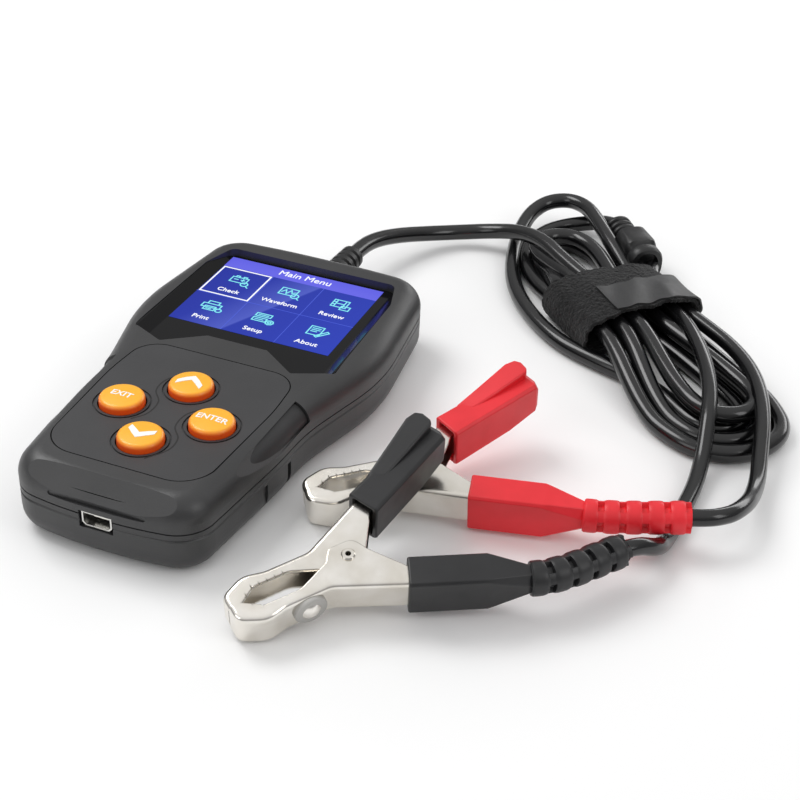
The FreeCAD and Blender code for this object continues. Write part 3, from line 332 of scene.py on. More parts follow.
def add_mesh(name, points, faces, body, slot, material, place=None, sharp=35.0, bevel=0.0):
    """A mesh piece from points in millimetres, smooth shaded between its sharp edges."""
    mesh = bpy.data.meshes.new(name)
    place = place or Matrix()
    mesh.from_pydata([place @ (Vector(p) * MM) for p in points], [], faces)
    mesh.validate()
    face_outwards(mesh)
    mesh.shade_smooth()
    mesh.set_sharp_from_angle(angle=math.radians(sharp))
    piece = add_object(name, mesh, body, material)
    if bevel:
        modifier = piece.modifiers.new("edges", "BEVEL")
        modifier.width = bevel * MM
        modifier.segments = 3
        modifier.limit_method = "ANGLE"
        modifier.angle_limit = math.radians(30)
    return piece


def face_outwards(mesh):
    """Turn every face of a closed mesh outwards."""
    work = bmesh.new()
    work.from_mesh(mesh)
    bmesh.ops.recalc_face_normals(work, faces=work.faces)
    work.to_mesh(mesh)
    work.free()


def rounded(corners, steps=6):
    """Points round a closed outline of (x, y, radius) corners."""
    points = []
    count = len(corners)
    for i in range(count):
        x, y, radius = corners[i]
        here = Vector((x, y))
        back = (Vector(corners[i - 1][:2]) - here).normalized()
        ahead = (Vector(corners[(i + 1) % count][:2]) - here).normalized()
        if radius <= 0:
            points.append((x, y))
            continue
        half = back.angle(ahead) / 2
        reach = radius / math.tan(half)
        centre = here + (back + ahead).normalized() * (radius / math.sin(half))
        start, end = here + back * reach - centre, here + ahead * reach - centre
        for k in range(steps + 1):
            points.append(tuple(centre + start.slerp(end, k / steps) * radius))
    return points


def prism(outline, low, high):
    """Points and faces of an outline extruded from one height to another."""
    count = len(outline)
    points = [(x, y, low) for x, y in outline] + [(x, y, high) for x, y in outline]
    faces = [(i, (i + 1) % count, count + (i + 1) % count, count + i) for i in range(count)]
    faces += [tuple(range(count - 1, -1, -1)), tuple(range(count, 2 * count))]
    return points, faces


def grid(rows):
    """Points and faces of a closed tube over rows of points that each form a ring."""
    count = len(rows[0])
    points = [point for row in rows for point in row]
    faces = []
    for r in range(len(rows) - 1):
        for i in range(count):
            j = (i + 1) % count
            faces.append((r * count + i, r * count + j, (r + 1) * count + j, (r + 1) * count + i))
    faces.append(tuple(range(count - 1, -1, -1)))
    faces.append(tuple(range((len(rows) - 1) * count, len(rows) * count)))
    return points, faces


def lathe(profile, steps=64):
    """Points and faces of a (radius, height) profile turned about Z."""
    turns = [2 * math.pi * k / steps for k in range(steps)]
    return grid([[(radius * math.cos(angle), radius * math.sin(angle), height)
                  for angle in turns] for radius, height in profile])


# ------------ cords

HANK_MIDDLE = Vector((80.0, 93.0, 0.0))
ALONG = Vector((1, -1, 0)).normalized()
ACROSS = Vector((1, 1, 0)).normalized()
# how far from the hank's middle the strap's edges are
STRAP_EDGE = 13.0
MAIN_RADIUS, LEAD_RADIUS = 2.4, 2.1
# in metres, as they come out along the routes below
LEAD_LENGTHS = (0.155, 0.147)
# how far a lead runs straight before it enters its strain relief
LEAD_STRAIGHT = 4.0
RUN_STEPS = 4
FOLD_STEPS = 4
# how many times further out a fold's control points stand than the arc that they draw
FOLD_SPREAD = 1.08
# below 1, a run leaves the strap's width sooner than it sinks to its level
SPLAY = 0.7


def hank(along, across, height):
    """A point given along and across the hank, as a point of the scene in millimetres."""
    return HANK_MIDDLE + ALONG * along + ACROSS * across + UP * height


def fold(reach, leave, back, level):
    """The half circle that turns a run back from leave to the run at back."""
    radius = abs(leave - back) / 2
    middle = (leave + back) / 2
    points = []
    for step in range(FOLD_STEPS + 1):
        angle = math.pi * step / FOLD_STEPS
        spread = FOLD_SPREAD if 0 < step < FOLD_STEPS else 1.0
        along = abs(reach) - radius + radius * spread * math.sin(angle)
        across = middle + (leave - middle) * spread * math.cos(angle)
        points.append(hank(math.copysign(along, reach), across, level))
    return points


def run(reach, start, side, radius, level):
    """From the strap at start (across, height) out to where a fold begins."""
    points = []
    for step in range(RUN_STEPS):
        part = step / RUN_STEPS
        ease = part * part * (3 - 2 * part)
        along = STRAP_EDGE + (abs(reach) - radius - STRAP_EDGE) * part
        across = start[0] + (side - start[0]) * ease ** SPLAY
        height = start[1] + (level - start[1]) * ease
        points.append(hank(math.copysign(along, reach), across, height))
    return points


def lobe(reach, start, end, sides, level):
    """One end of a turn: out from the strap at start, round a fold, back in at end.

    start and end are (across, height) at the strap, and sides are how far across the
    turn lies on its way out and on its way back."""
    leave, back = sides
    radius = abs(leave - back) / 2
    return (run(reach, start, leave, radius, level) + fold(reach, leave, back, level)
            + run(reach, end, back, radius, level)[::-1])


def cable_route():
    """The cable's whole way: in over the hank, four times round it and out at the
    splitter. Each pass under the strap is the straight run between two lobes."""
    route = [Vector(p) for p in (
        (0.0, 80.95, 10.4), (0.0, 88.0, 10.4), (1.8, 96.5, 9.6), (6.0, 106.0, 7.6),
        (12.0, 115.0, 5.4), (20.0, 121.8, 4.6), (29.5, 124.4, 6.0), (40.0, 121.5, 9.4),
        (50.0, 113.8, 11.6), (60.0, 104.2, 11.0))]
    route += lobe(60.5, (-2.5, 10.2), (5.5, 8.4), (-8.0, 10.0), 7.4)
    route += lobe(-46.0, (5.5, 8.0), (-7.6, 9.6), (10.0, -7.8), 7.4)
    route += lobe(65.0, (-7.6, 9.8), (8.6, 3.8), (-13.6, 12.0), 2.6)
    route += lobe(-49.5, (8.6, 3.8), (-13.0, 8.7), (12.6, -7.0), 2.6)
    route += lobe(70.5, (-13.2, 8.8), (13.5, 3.8), (-18.5, 16.8), 2.5)
    route += [hank(*p) for p in (
        (-13, 13.6, 4.2), (-24, 15.2, 6.0), (-36, 16.4, 8.4), (-47, 18.4, 9.4),
        (-57, 20.2, 9.4), (-64.6, 18.2, 9.0), (-67.8, 11.6, 8.0), (-65.6, 4.6, 6.4),
        (-60.0, -1.8, 4.6), (-51.0, -8.6, 3.0), (-38.0, -16.2, 2.5), (-24.0, -21.5, 2.5),
        (-8.0, -23.4, 2.5), (6.0, -22.4, 2.5), (18.0, -17.6, 2.5), (29.0, -11.8, 2.5),
        (40.0, -8.8, 2.5))]
    route += fold(59.0, -8.7, 7.1, 2.5)
    route += [hank(*p) for p in (
        (40.0, 7.0, 2.6), (28.0, 5.8, 3.2), (13.0, 3.0, 3.8), (0.0, -5.0, 3.8),
        (-13.0, -12.4, 3.8), (-27.0, -13.4, 3.0), (-40.0, -10.2, 2.6), (-51.0, -3.8, 2.5),
        (-58.0, 5.0, 2.5), (-60.0, 14.4, 2.6), (-56.6, 22.4, 4.0), (-50.0, 25.4, 6.4))]
    route.append(splitter_place() @ Vector((0, 0, -0.2)))
    return route


def splitter_place():
    """Millimetre frame of the splitter: origin at its ribbed end, +Z to its collar."""
    way = Vector((15.2, -21.2, -0.4)).normalized()
    turn = way.to_track_quat("Z", "X").to_matrix().to_4x4()
    return Matrix.Translation(Vector((65.2, 142.6, 7.2))) @ turn


def lead_routes():
    """From the splitter's collar, under the strap, over the lobe and on to each clip."""
    collar = splitter_place() @ Vector((0, 0, 26.2))
    black = [collar + ACROSS * -2.0, hank(-14.5, 15.6, 8.2), hank(-6.0, 11.6, 9.2),
             hank(8.0, 11.0, 9.6), hank(18.0, 9.8, 10.6), hank(30.0, 6.0, 12.0),
             hank(43.0, 0.8, 12.6), hank(54.5, -5.0, 12.2), hank(63.5, -11.2, 9.6),
             Vector((118.4, 31.5, 4.6)), Vector((119.0, 22.0, 2.4)), Vector((118.5, 12.5, 2.2)),
             Vector((118.1, 3.6, 2.2)), Vector((117.5, -4.4, 2.4)), Vector((117.0, -11.8, 6.3))]
    red = [collar + ACROSS * 2.1, hank(-15.0, 18.6, 7.8), hank(-6.5, 15.4, 8.4),
           hank(8.0, 15.0, 8.6), hank(20.0, 16.0, 8.8), hank(33.0, 16.6, 9.0),
           hank(46.0, 14.2, 9.4), hank(57.0, 9.4, 9.6), hank(67.0, 3.6, 8.6),
           Vector((131.8, 36.5, 6.0)), Vector((133.2, 27.5, 4.4)), Vector((133.4, 19.0, 5.6)),
           Vector((133.0, 12.4, 7.4)), Vector((131.2, 5.6, 8.9)), Vector((129.0, 2.4, 9.4))]
    for colour, route in (("black", black), ("red", red)):
        tip, way = relief_tip(colour)
        route += [tip + way * LEAD_STRAIGHT, tip]
    return black, red


def add_cord(name, route, radius, material):
    """One open spline along a route, thick as the cord."""
    curve = bpy.data.curves.new(name, "CURVE")
    curve.dimensions = "3D"
    spline = curve.splines.new("NURBS")
    spline.points.add(len(route) - 1)
    for point, place in zip(spline.points, route):
        point.co = (*(place * MM), 1)
    spline.order_u = 3
    spline.use_endpoint_u = True
    curve.resolution_u = 8
    curve.bevel_depth = radius * MM
    curve.bevel_resolution = 6
    curve.use_fill_caps = True
    return add_object(name, curve, "handset", material)


# ------------ clips

# each clip's rivet, and its yaw, pitch and roll in degrees
CLIPS = {
    "black": (Vector((57.0, -51.7, 9.8)), (50.7, -8.5, 13.9)),
    "red": (Vector((58.6, -11.6, 7.9)), (36.1, -5.75, 9.4)),
}
# how far each strain relief bends sideways and down from its boot, in degrees
RELIEF_BENDS = {"black": (22.0, 9.0), "red": (6.0, -1.5)}
LEVER_ANGLE = 24.6
LEVER_START = (9.1, 10.4)
BOOT_LENGTH, BOOT_DEPTH, BOOT_HEIGHT = 28.0, 8.0, 11.2
RELIEF_LENGTH, RELIEF_RADIUS = 24.4, 4.0
# how deep the relief sits in its boot, and how long its curve's two handles are
RELIEF_ROOT, RELIEF_HANDLE = 1.2, 8.0
RELIEF_RINGS = 5
# share of each pitch that is ring, how much its rim is rounded, and the slots' sizes
RING_SHARE, RING_ROUNDING = 0.7, 3.6
CORE_DROP, BAR_DROP, SLOT_HALF_ANGLE = 1.35, 0.3, math.radians(24)
# how much smaller the relief's two end faces are
END_DROP = 1.2


def turned(yaw, pitch=0.0, roll=0.0):
    """Turn about X, then Y, then Z, in degrees."""
    return (Matrix.Rotation(math.radians(yaw), 4, "Z")
            @ Matrix.Rotation(math.radians(pitch), 4, "Y")
            @ Matrix.Rotation(math.radians(roll), 4, "X"))


def boot_place(colour, side):
    """Millimetre frame of a boot: origin where the lever enters it, +X along the lever."""
    place, angles = CLIPS[colour]
    start = Vector((LEVER_START[0], LEVER_START[1] * side, 0))
    return (Matrix.Translation(place) @ turned(*angles) @ Matrix.Translation(start)
            @ turned(LEVER_ANGLE * side))


def relief_tip(colour):
    """Where the lead leaves its strain relief, and the way it points."""
    sideways, droop = RELIEF_BENDS[colour]
    root = (boot_place(colour, -1) @ Matrix.Translation(Vector((BOOT_LENGTH - 0.4, 0, 0)))
            @ turned(sideways, droop))
    way = (root.to_3x3() @ Vector((1, 0, 0))).normalized()
    return root @ Vector((RELIEF_LENGTH, 0, 0)), way


def millimetres(place):
    """The same frame for points already scaled to metres."""
    scaled = place.copy()
    scaled.translation = place.translation * MM
    return scaled


def octagon(x, deep, high, chamfer, chamfer_high=None):
    """A chamfered rectangle across a boot at x, as a ring of eight points."""
    d, h, c = deep / 2, high / 2, chamfer
    e = chamfer_high if chamfer_high is not None else chamfer
    return [(x, d, -h + e), (x, d, h - e), (x, d - c, h), (x, -d + c, h),
            (x, -d, h - e), (x, -d, -h + e), (x, -d + c, -h), (x, d - c, -h)]


def sleeve(x, less_deep, less_high, chamfer, chamfer_high=None):
    """A ring of a boot's sleeve, smaller than its full section by so much."""
    return octagon(x, BOOT_DEPTH - less_deep, BOOT_HEIGHT - less_high, chamfer, chamfer_high)


def sleeve_mouth():
    """Rings from the dark hollow inside a sleeve, round its rim, to its full section."""
    return [sleeve(4.0, 2.6, 1.8, 0.3), sleeve(0.3, 2.6, 1.8, 0.3), sleeve(0.0, 2.2, 1.4, 0.4),
            sleeve(0.0, 0.5, 0.5, 0.5), sleeve(0.3, 0, 0, 0.6)]


def add_cable_boot(colour, material):
    """Square sleeve that narrows through long facets to the strain relief."""
    rows = sleeve_mouth() + [sleeve(17.5, 0, 0, 0.6), sleeve(18.6, 0.1, 0.2, 0.8, 1.0),
                             octagon(27.2, 5.8, 6.8, 1.7, 2.2),
                             octagon(BOOT_LENGTH, 5.2, 6.2, 1.7, 2.1)]
    return add_mesh(colour + "_boot_sleeve", *grid(rows), "handset", colour + "_boot", material,
                    millimetres(boot_place(colour, -1)), sharp=24, bevel=0.35)


def relief_radius(angle, part):
    """Outline of the relief: full rings, and between them four bars over a thin core."""
    if part < RING_SHARE:
        return RELIEF_RADIUS - RING_ROUNDING * abs(part / RING_SHARE - 0.5) ** 4
    across = abs(((angle + math.pi / 4) % (math.pi / 2)) - math.pi / 4)
    return RELIEF_RADIUS - (CORE_DROP if across < SLOT_HALF_ANGLE else BAR_DROP)


def add_relief(colour, material):
    """Slotted strain relief, bent in one smooth curve from the boot to its tip."""
    boot = boot_place(colour, -1)
    tip, way = relief_tip(colour)
    root = boot @ Vector((BOOT_LENGTH - RELIEF_ROOT, 0, 0))
    onward = (boot.to_3x3() @ Vector((1, 0, 0))).normalized()
    steps = 160
    line = interpolate_bezier(root, root + onward * RELIEF_HANDLE, tip - way * RELIEF_HANDLE,
                              tip, steps + 1)
    side = (boot.to_3x3() @ Vector((0, 1, 0))).normalized()
    rows, around = [], 72
    for k, centre in enumerate(line):
        ahead = line[min(k + 1, steps)] - line[max(k - 1, 0)]
        ahead.normalize()
        side = (side - ahead * side.dot(ahead)).normalized()
        other = ahead.cross(side)
        part = (k / steps * RELIEF_RINGS) % 1.0 if 3 <= k < steps else 0.0
        row = []
        for i in range(around):
            angle = 2 * math.pi * i / around
            radius = RELIEF_RADIUS - END_DROP if k in (0, steps) else relief_radius(angle, part)
            row.append(centre + side * radius * math.cos(angle) + other * radius * math.sin(angle))
        rows.append(row)
    return add_mesh(colour + "_relief", *grid(rows), "handset", colour + "_boot", material,
                    sharp=32)


LEVER_BOOT_LENGTH = 27.8
SOLE_START, SOLE_LIFT = 18.0, 0.32
# the thumb wedge's foot, where its top starts to rise and how much over the next 20 mm
WEDGE_FOOT, WEDGE_START, WEDGE_RISE = -2.0, 8.0, 2.4


def raised_sole(x, y, z):
    """Lift the lower side towards the lever's end, which swings over the other clip."""
    if z < 0 and x > SOLE_START:
        z *= 1.0 - SOLE_LIFT * (x - SOLE_START) / (LEVER_BOOT_LENGTH - SOLE_START)
    return x, y, z


def add_lever_boot(colour, material):
    """Square sleeve with a raised wedge for the thumb on its outer side."""
    rows = sleeve_mouth() + [sleeve(SOLE_START, 0.3, 0.3, 0.7), sleeve(26.6, 0.5, 0.5, 0.8),
                             sleeve(LEVER_BOOT_LENGTH, 1.7, 1.8, 1.6)]
    rows = [[raised_sole(*point) for point in row] for row in rows]
    place = millimetres(boot_place(colour, 1))
    body, slot = colour + "_lever", colour + "_boot"
    lever = add_mesh(colour + "_lever_sleeve", *grid(rows), body, slot, material, place,
                     sharp=24, bevel=0.35)
    # the wedge rises from flush at its start to stand proud at the lever's end
    outline = [(6.5, 3.9), (9.0, 0.3), (17.0, 0.1), (26.4, 0.1), (27.4, 1.0), (27.8, 3.6),
               (27.0, 5.3), (24.5, 6.0), (15.0, 4.9)]
    flush = BOOT_HEIGHT / 2 - 0.2
    points, faces = prism(outline, WEDGE_FOOT, flush)
    points[len(outline):] = [(x, y, flush + WEDGE_RISE * max(0.0, x - WEDGE_START) / 20.0)
                             for x, y in outline]
    wedge = add_mesh(colour + "_thumb_wedge", points, faces, body, slot, material, place,
                     sharp=24, bevel=0.5)
    return lever, wedge


# ------------ hank fittings

# the strap's section across the hank: corners and their radii
STRAP_LINE = [(-18.9, 0.7, 4.0), (18.9, 0.7, 4.0), (18.7, 12.0, 5.0), (9.0, 13.7, 14.0),
              (-9.0, 13.5, 14.0), (-18.7, 10.2, 5.5)]
# how far the fabric and its edges wave, and how near the table it comes
STRAP_WAVE, EDGE_WAVE, FLOOR_ROOM = 0.25, 0.35, 0.15
# above the shoulder an outer turn stands clear of the inner one, below it hardly does
STRAP_SHOULDER, FOOT_LIFT, TONGUE_FOOT = 5.0, 0.1, 6.0


def band(name, edges, line, thickness, material, span=None, lean=0.0):
    """A closed ribbon round the hank, between two stations along it.

    With a span, only the part of its top that lies between those two points across."""
    outside = resample(rounded(line, 10), 0.7)
    count = len(outside)
    rows_along = 30
    keep = [span is None or (span[0] <= b <= span[1] and z > TONGUE_FOOT) for b, z in outside]
    points, faces, index = [], [], {}
    for level in (0, 1):
        for r in range(rows_along + 1):
            along = edges[0] + (edges[1] - edges[0]) * r / rows_along
            for i, (b, z) in enumerate(outside):
                ahead = Vector(outside[(i + 1) % count]) - Vector(outside[i - 1])
                normal = Vector((ahead.y, -ahead.x)).normalized()
                inset = -thickness * level
                wave = STRAP_WAVE * math.sin(b * 0.5 + along * 0.3)
                edge = EDGE_WAVE * math.sin(0.9 * b + 1.7 * z)
                point = hank(along + edge + lean * b, b + normal.x * (inset + wave),
                             max(z + normal.y * (inset + wave), FLOOR_ROOM))
                index[(level, r, i)] = len(points)
                points.append(point)
    for r in range(rows_along):
        for i in range(count):
            j = (i + 1) % count
            if not (keep[i] and keep[j]):
                continue
            for level in (0, 1):
                around = ((r, i), (r, j), (r + 1, j), (r + 1, i))
                faces.append(tuple(index[(level, a, c)] for a, c in around))
    for i in range(count):
        j = (i + 1) % count
        if keep[i] and keep[j]:
            for r in (0, rows_along):
                faces.append((index[(0, r, i)], index[(0, r, j)],
                              index[(1, r, j)], index[(1, r, i)]))
        elif keep[i] != keep[j]:
            end = i if keep[i] else j
            for r in range(rows_along):
                faces.append((index[(0, r, end)], index[(0, r + 1, end)],
                              index[(1, r + 1, end)], index[(1, r, end)]))
    piece = add_mesh(name, points, faces, "handset", "strap_fabric", material, sharp=50)
    remove_loose(piece.data)
    return piece


def resample(outline, step):
    """The closed outline again, with points about a step apart."""
    points = []
    count = len(outline)
    for i in range(count):
        a, b = Vector(outline[i]), Vector(outline[(i + 1) % count])
        pieces = max(1, round((b - a).length / step))
        points += [tuple(a.lerp(b, k / pieces)) for k in range(pieces)]
    return points


def remove_loose(mesh):
    """Delete the points that no face uses."""
    work = bmesh.new()
    work.from_mesh(mesh)
    bmesh.ops.delete(work, geom=[v for v in work.verts if not v.link_faces], context="VERTS")
    work.to_mesh(mesh)
    work.free()


def roughen(piece, depth, size):
    """Break a pile strap's surface up with a cloud texture, in real geometry."""
    texture = bpy.data.textures.new(piece.name + "_pile", "CLOUDS")
    texture.noise_scale = size * MM
    texture.noise_depth = 2
    modifier = piece.modifiers.new("pile", "DISPLACE")
    modifier.texture = texture
    modifier.strength = depth * MM
    modifier.mid_level = 0.6


def outer_turn(line, wider, lift):
    """The line of the next turn of strap, which lies over the one before."""
    return [(b * wider, z + (lift if z > STRAP_SHOULDER else FOOT_LIFT), r) for b, z, r in line]


def add_strap():
    """Two turns of pile side by side, the second over the first, and a smooth tongue."""
    pile, smooth = strap_pile(), strap_smooth()
    grown = outer_turn(STRAP_LINE, 1.03, 0.75)
    rear = band("strap_first_turn", (-12.5, 1.5), STRAP_LINE, 1.2, pile, lean=0.05)
    front = band("strap_second_turn", (-1.5, 12.6), grown, 1.1, pile, lean=-0.04)
    tongue = band("strap_tongue", (-0.9, 12.0), outer_turn(grown, 1.045, 0.62), 0.5, smooth,
                  span=(-9.0, 20.5), lean=-0.04)
    for piece in (rear, front):
        roughen(piece, 0.7, 0.8)
    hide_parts("cable_strap")
    return [rear, front, tongue]


def add_splitter(material):
    """Ribbed neck, squared barrel and a stepped collar, moulded in one with the cable."""
    rows = []

    def section(height, width, depth, power):
        """A superellipse: round at power 1, squarer below it."""
        row = []
        for k in range(48):
            angle = 2 * math.pi * k / 48
            c, s = math.cos(angle), math.sin(angle)
            x = math.copysign(abs(c) ** power, c) * width / 2
            y = math.copysign(abs(s) ** power, s) * depth / 2
            row.append((x, y, height))
        rows.append(row)

    section(0.0, 6.2, 6.2, 1.0)
    for i in range(3):
        start = 0.5 + 2.7 * i
        for height, width in ((start, 6.6), (start + 0.25, 8.6), (start + 0.5, 9.0),
                              (start + 1.5, 9.0), (start + 1.75, 8.6), (start + 2.0, 6.6)):
            section(height, width, width, 0.95)
    for height, width, depth, power in (
            (9.2, 7.4, 7.4, 0.9), (10.6, 10.8, 9.2, 0.62), (11.6, 12.4, 10.2, 0.55),
            (19.2, 12.8, 10.4, 0.5), (20.4, 12.4, 10.2, 0.55), (20.9, 11.2, 9.4, 0.6),
            (21.5, 10.4, 9.0, 0.7), (22.1, 11.4, 10.2, 0.75), (22.8, 11.9, 10.8, 0.8),
            (25.4, 11.9, 10.8, 0.8), (26.2, 11.0, 10.0, 0.85), (26.3, 9.0, 7.4, 0.9),
            (24.6, 8.8, 6.4, 0.9)):
        section(height, width, depth, power)
    piece = add_mesh("y_splitter_moulding", *grid(rows), "handset", "cord_rubber", material,
                     millimetres(splitter_place()), sharp=40)
    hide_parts("y_splitter")
    return piece


# ------------ keys

KEY_LEGENDS = {"key_exit": "EXIT", "key_enter": "ENTER", "key_up": "up", "key_down": "down"}
# the cap's crown falls by this much per square of the distance from its middle
CROWN_DROP = 0.0187
# the round from the cap's side to its crown: its radius, and how far its centre is from the
# key's middle and below the top
CROWN_ROUND, CROWN_FLAT, CROWN_START = 1.13, 4.45, 1.5


def middle_of(node):
    """A node's middle and its upper corner, in millimetres."""
    low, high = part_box(node)
    return (Vector(low) + Vector(high)) / 2 / MM, Vector(high) / MM


def add_key(node, material, ink):
    """Softly crowned cap on a flange, with its legend standing a hair above it."""
    centre, high = middle_of(node)
    top = high.z
    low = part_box(node)[0][2] / MM
    profile = [(6.55, low), (6.6, low + 0.1), (6.6, low + 1.1), (6.5, low + 1.2),
               (5.6, low + 1.25), (5.58, top - CROWN_START)]
    for k in range(1, 8):
        angle = math.radians(90 * k / 7)
        profile.append((CROWN_FLAT + CROWN_ROUND * math.cos(angle),
                        top - CROWN_START + CROWN_ROUND * math.sin(angle)))
    profile += [(3.6, top - 0.24), (2.4, top - 0.12), (1.2, top - 0.04), (0.3, top - 0.01)]
    place = Matrix.Translation(Vector((centre.x, centre.y, 0)) * MM)
    cap = add_mesh(node + "_cap", *lathe(profile), node, "key_orange", material, place, sharp=50)
    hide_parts(node)
    what = KEY_LEGENDS[node]
    if what in ("up", "down"):
        legend = add_chevron(node, centre, top, 1 if what == "up" else -1, ink)
    else:
        legend = add_word(node + "_legend", what, centre, top, 2.75, node, ink,
                          weight=0.05)
    drape(legend.data, centre)


def drape(mesh, centre):
    """Lower a legend's points with the crown of the key they are printed on."""
    for vertex in mesh.vertices:
        away = (vertex.co - centre * MM).xy.length_squared
        vertex.co.z -= CROWN_DROP * away / MM


def add_word(name, text, centre, height, size, body, material, weight=0.0):
    """A word as a thin raised mesh, centred on a point, its baseline along +X."""
    curve = bpy.data.curves.new(name, "FONT")
    curve.body = text
    curve.size = size * MM
    curve.align_x = "CENTER"
    curve.align_y = "CENTER"
    curve.offset = weight * MM
    curve.extrude = 0.06 * MM
    holder = bpy.data.objects.new(name + "_curve", curve)
    link(holder)
    bpy.context.view_layer.update()
    mesh = bpy.data.meshes.new_from_object(holder)
    bpy.data.objects.remove(holder)
    mesh.transform(Matrix.Translation(Vector((centre.x, centre.y, height)) * MM))
    mesh.name = name
    return add_object(name, mesh, body, material)


def add_chevron(node, centre, top, way, ink):
    """A broad arrowhead whose legs flare slightly, up for way 1 and down for -1."""
    outline = [(0.0, 2.4), (1.7, 1.1), (3.4, -0.5), (3.3, -2.1), (1.6, -0.8), (0.0, 0.4),
               (-1.6, -0.8), (-3.3, -2.1), (-3.4, -0.5), (-1.7, 1.1)]
    outline = [(x + centre.x, y * way + centre.y) for x, y in outline]
    if way < 0:
        outline.reverse()
    return add_mesh(node + "_legend", *prism(outline, top - 0.05, top + 0.13), node,
                    "key_orange", ink, sharp=30)


def add_keypad_curves():
    """Two fine dark lines of painted shade that stand for the grooves winding between the keys."""
    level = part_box("keypad_plate")[1][2] / MM + 0.005
    middle = sum((middle_of(node)[0] for node in KEY_LEGENDS), Vector()) / len(KEY_LEGENDS)
    # painted shade: a dark strip laid where a groove's shadow would fall
    dark = moulded("groove_shade", (0.006, 0.006, 0.006), 0.6)
    for name, flip in (("keypad_curve_left", 1), ("keypad_curve_right", -1)):
        line = [Vector((-4.4, 18.2)), Vector((-7.6, 13.0)), Vector((-7.4, 8.0)),
                Vector((-4.4, 3.8)), Vector((-4.2, -1.5)), Vector((-6.6, -5.4))]
        line = smooth_line([middle.xy + p * flip for p in line], 8)
        add_mesh(name, *ribbon(line, 0.36, level, 0.03), "handset", "keypad_plastic", dark)


def smooth_line(points, steps):
    """A Catmull-Rom line through 2-D points."""
    ends = [2 * points[0] - points[1]] + points + [2 * points[-1] - points[-2]]
    line = []
    for a, b, c, d in zip(ends, ends[1:], ends[2:], ends[3:]):
        for k in range(steps):
            t = k / steps
            line.append(0.5 * (2 * b + (c - a) * t + (2 * a - 5 * b + 4 * c - d) * t * t
                               + (3 * b - a - 3 * c + d) * t ** 3))
    return line + [points[-1]]


def ribbon(line, width, height, thickness):
    """A bar of rectangular section along a level line."""
    rows = []
    for k, point in enumerate(line):
        ahead = (line[min(k + 1, len(line) - 1)] - line[max(k - 1, 0)]).normalized()
        side = Vector((-ahead.y, ahead.x)) * width / 2
        rows.append([(*(point + side), height + thickness), (*(point - side), height + thickness),
                     (*(point - side), height - thickness), (*(point + side), height - thickness)])
    return grid(rows)


# ------------ display

SCREEN_WIDTH, SCREEN_HEIGHT = 46.4, 37.4
SCREEN_CENTRE = Vector((-1.2, 33.2, 0))
TITLE_HEIGHT = 5.6
# the lens's thickness, and the gap between its face and the picture
LENS_THICKNESS, SCREEN_GAP = 1.2, 0.02
# heights over the picture's ground, so that no two flat pieces lie in one plane
BAND_LIFT, RULE_LIFT, CHOICE_LIFT, ICON_LIFT, WORD_LIFT = 0.045, 0.05, 0.06, 0.07, 0.09
ICON_SCALE, ICON_RISE, LABEL_DROP = 0.92, 2.0, 4.6
TILE_EDGE = 0.5


def screen_level():
    """Just above the flat of the lens, whose wings rise to the shell's rim."""
    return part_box("display_lens")[0][2] / MM + LENS_THICKNESS + SCREEN_GAP


def glowing(name, color):
    """A part of the picture that lights itself."""
    material = plain(name, tuple(c * 0.1 for c in color), 0.3, specular=0.15)
    shader = shader_of(material)
    shader.inputs["Emission Color"].default_value = (*color, 1)
    shader.inputs["Emission Strength"].default_value = 1.0
    return material


def backlit_blue():
    """Blue backlight, deeper to the lower left, with a paler diagonal sweep that is a painted
    reflection on the glass.
    """
    material = glowing("screen_blue", (0.015, 0.03, 0.4))
    nodes, links = material.node_tree.nodes, material.node_tree.links
    coords = nodes.new("ShaderNodeTexCoord")
    mapping = nodes.new("ShaderNodeMapping")
    mapping.inputs["Rotation"].default_value = (0, 0, math.radians(24.5))
    mapping.inputs["Scale"].default_value = (1 / 0.05, 1 / 0.05, 1)
    mapping.inputs["Location"].default_value = (0.29, 0.0, 0)
    gradient = nodes.new("ShaderNodeSeparateXYZ")
    links.new(coords.outputs["Object"], mapping.inputs["Vector"])
    links.new(mapping.outputs["Vector"], gradient.inputs[0])
    shift = nodes.new("ShaderNodeMapRange")
    shift.inputs["From Min"].default_value = -0.6
    shift.inputs["From Max"].default_value = 0.6
    links.new(gradient.outputs["X"], shift.inputs["Value"])
    # the narrow pale stop at 0.50, cut off at 0.51, is a painted reflection band across the screen
    color = ramp(material, shift.outputs["Result"], [
        (0.0, (0.010, 0.022, 0.30)), (0.30, (0.014, 0.030, 0.34)), (0.50, (0.070, 0.100, 0.50)),
        (0.51, (0.016, 0.034, 0.36)), (1.0, (0.020, 0.045, 0.44))])
    links.new(color, shader_of(material).inputs["Emission Color"])
    return material


def flat_piece(name, outline, height, material, thickness=0.04):
    """A thin plate about the screen's middle."""
    placed = [(x + SCREEN_CENTRE.x, y + SCREEN_CENTRE.y) for x, y in outline]
    add_mesh(name, *prism(placed, height, height + thickness), "handset", "lcd_face", material,
             sharp=30)


def box_outline(x0, y0, x1, y1):
    return [(x0, y0), (x1, y0), (x1, y1), (x0, y1)]


def strokes(name, lines, width, height, material):
    """Thin flat strokes along open or closed lines, joined into one piece."""
    points, faces = [], []
    for line in lines:
        for a, b in zip(line, line[1:]):
            a, b = Vector(a), Vector(b)
            way = (b - a).normalized() * width / 2
            side = Vector((-way.y, way.x))
            corners = [a - way - side, b + way - side, b + way + side, a - way + side]
            start = len(points)
            for z in (height, height + 0.05):
                points += [(p.x + SCREEN_CENTRE.x, p.y + SCREEN_CENTRE.y, z) for p in corners]
            faces += [(start + 4, start + 5, start + 6, start + 7),
                      (start + 3, start + 2, start + 1, start)]
            faces += [(start + i, start + (i + 1) % 4, start + 4 + (i + 1) % 4, start + 4 + i)
                      for i in range(4)]
    add_mesh(name, points, faces, "handset", "lcd_face", material, sharp=30)


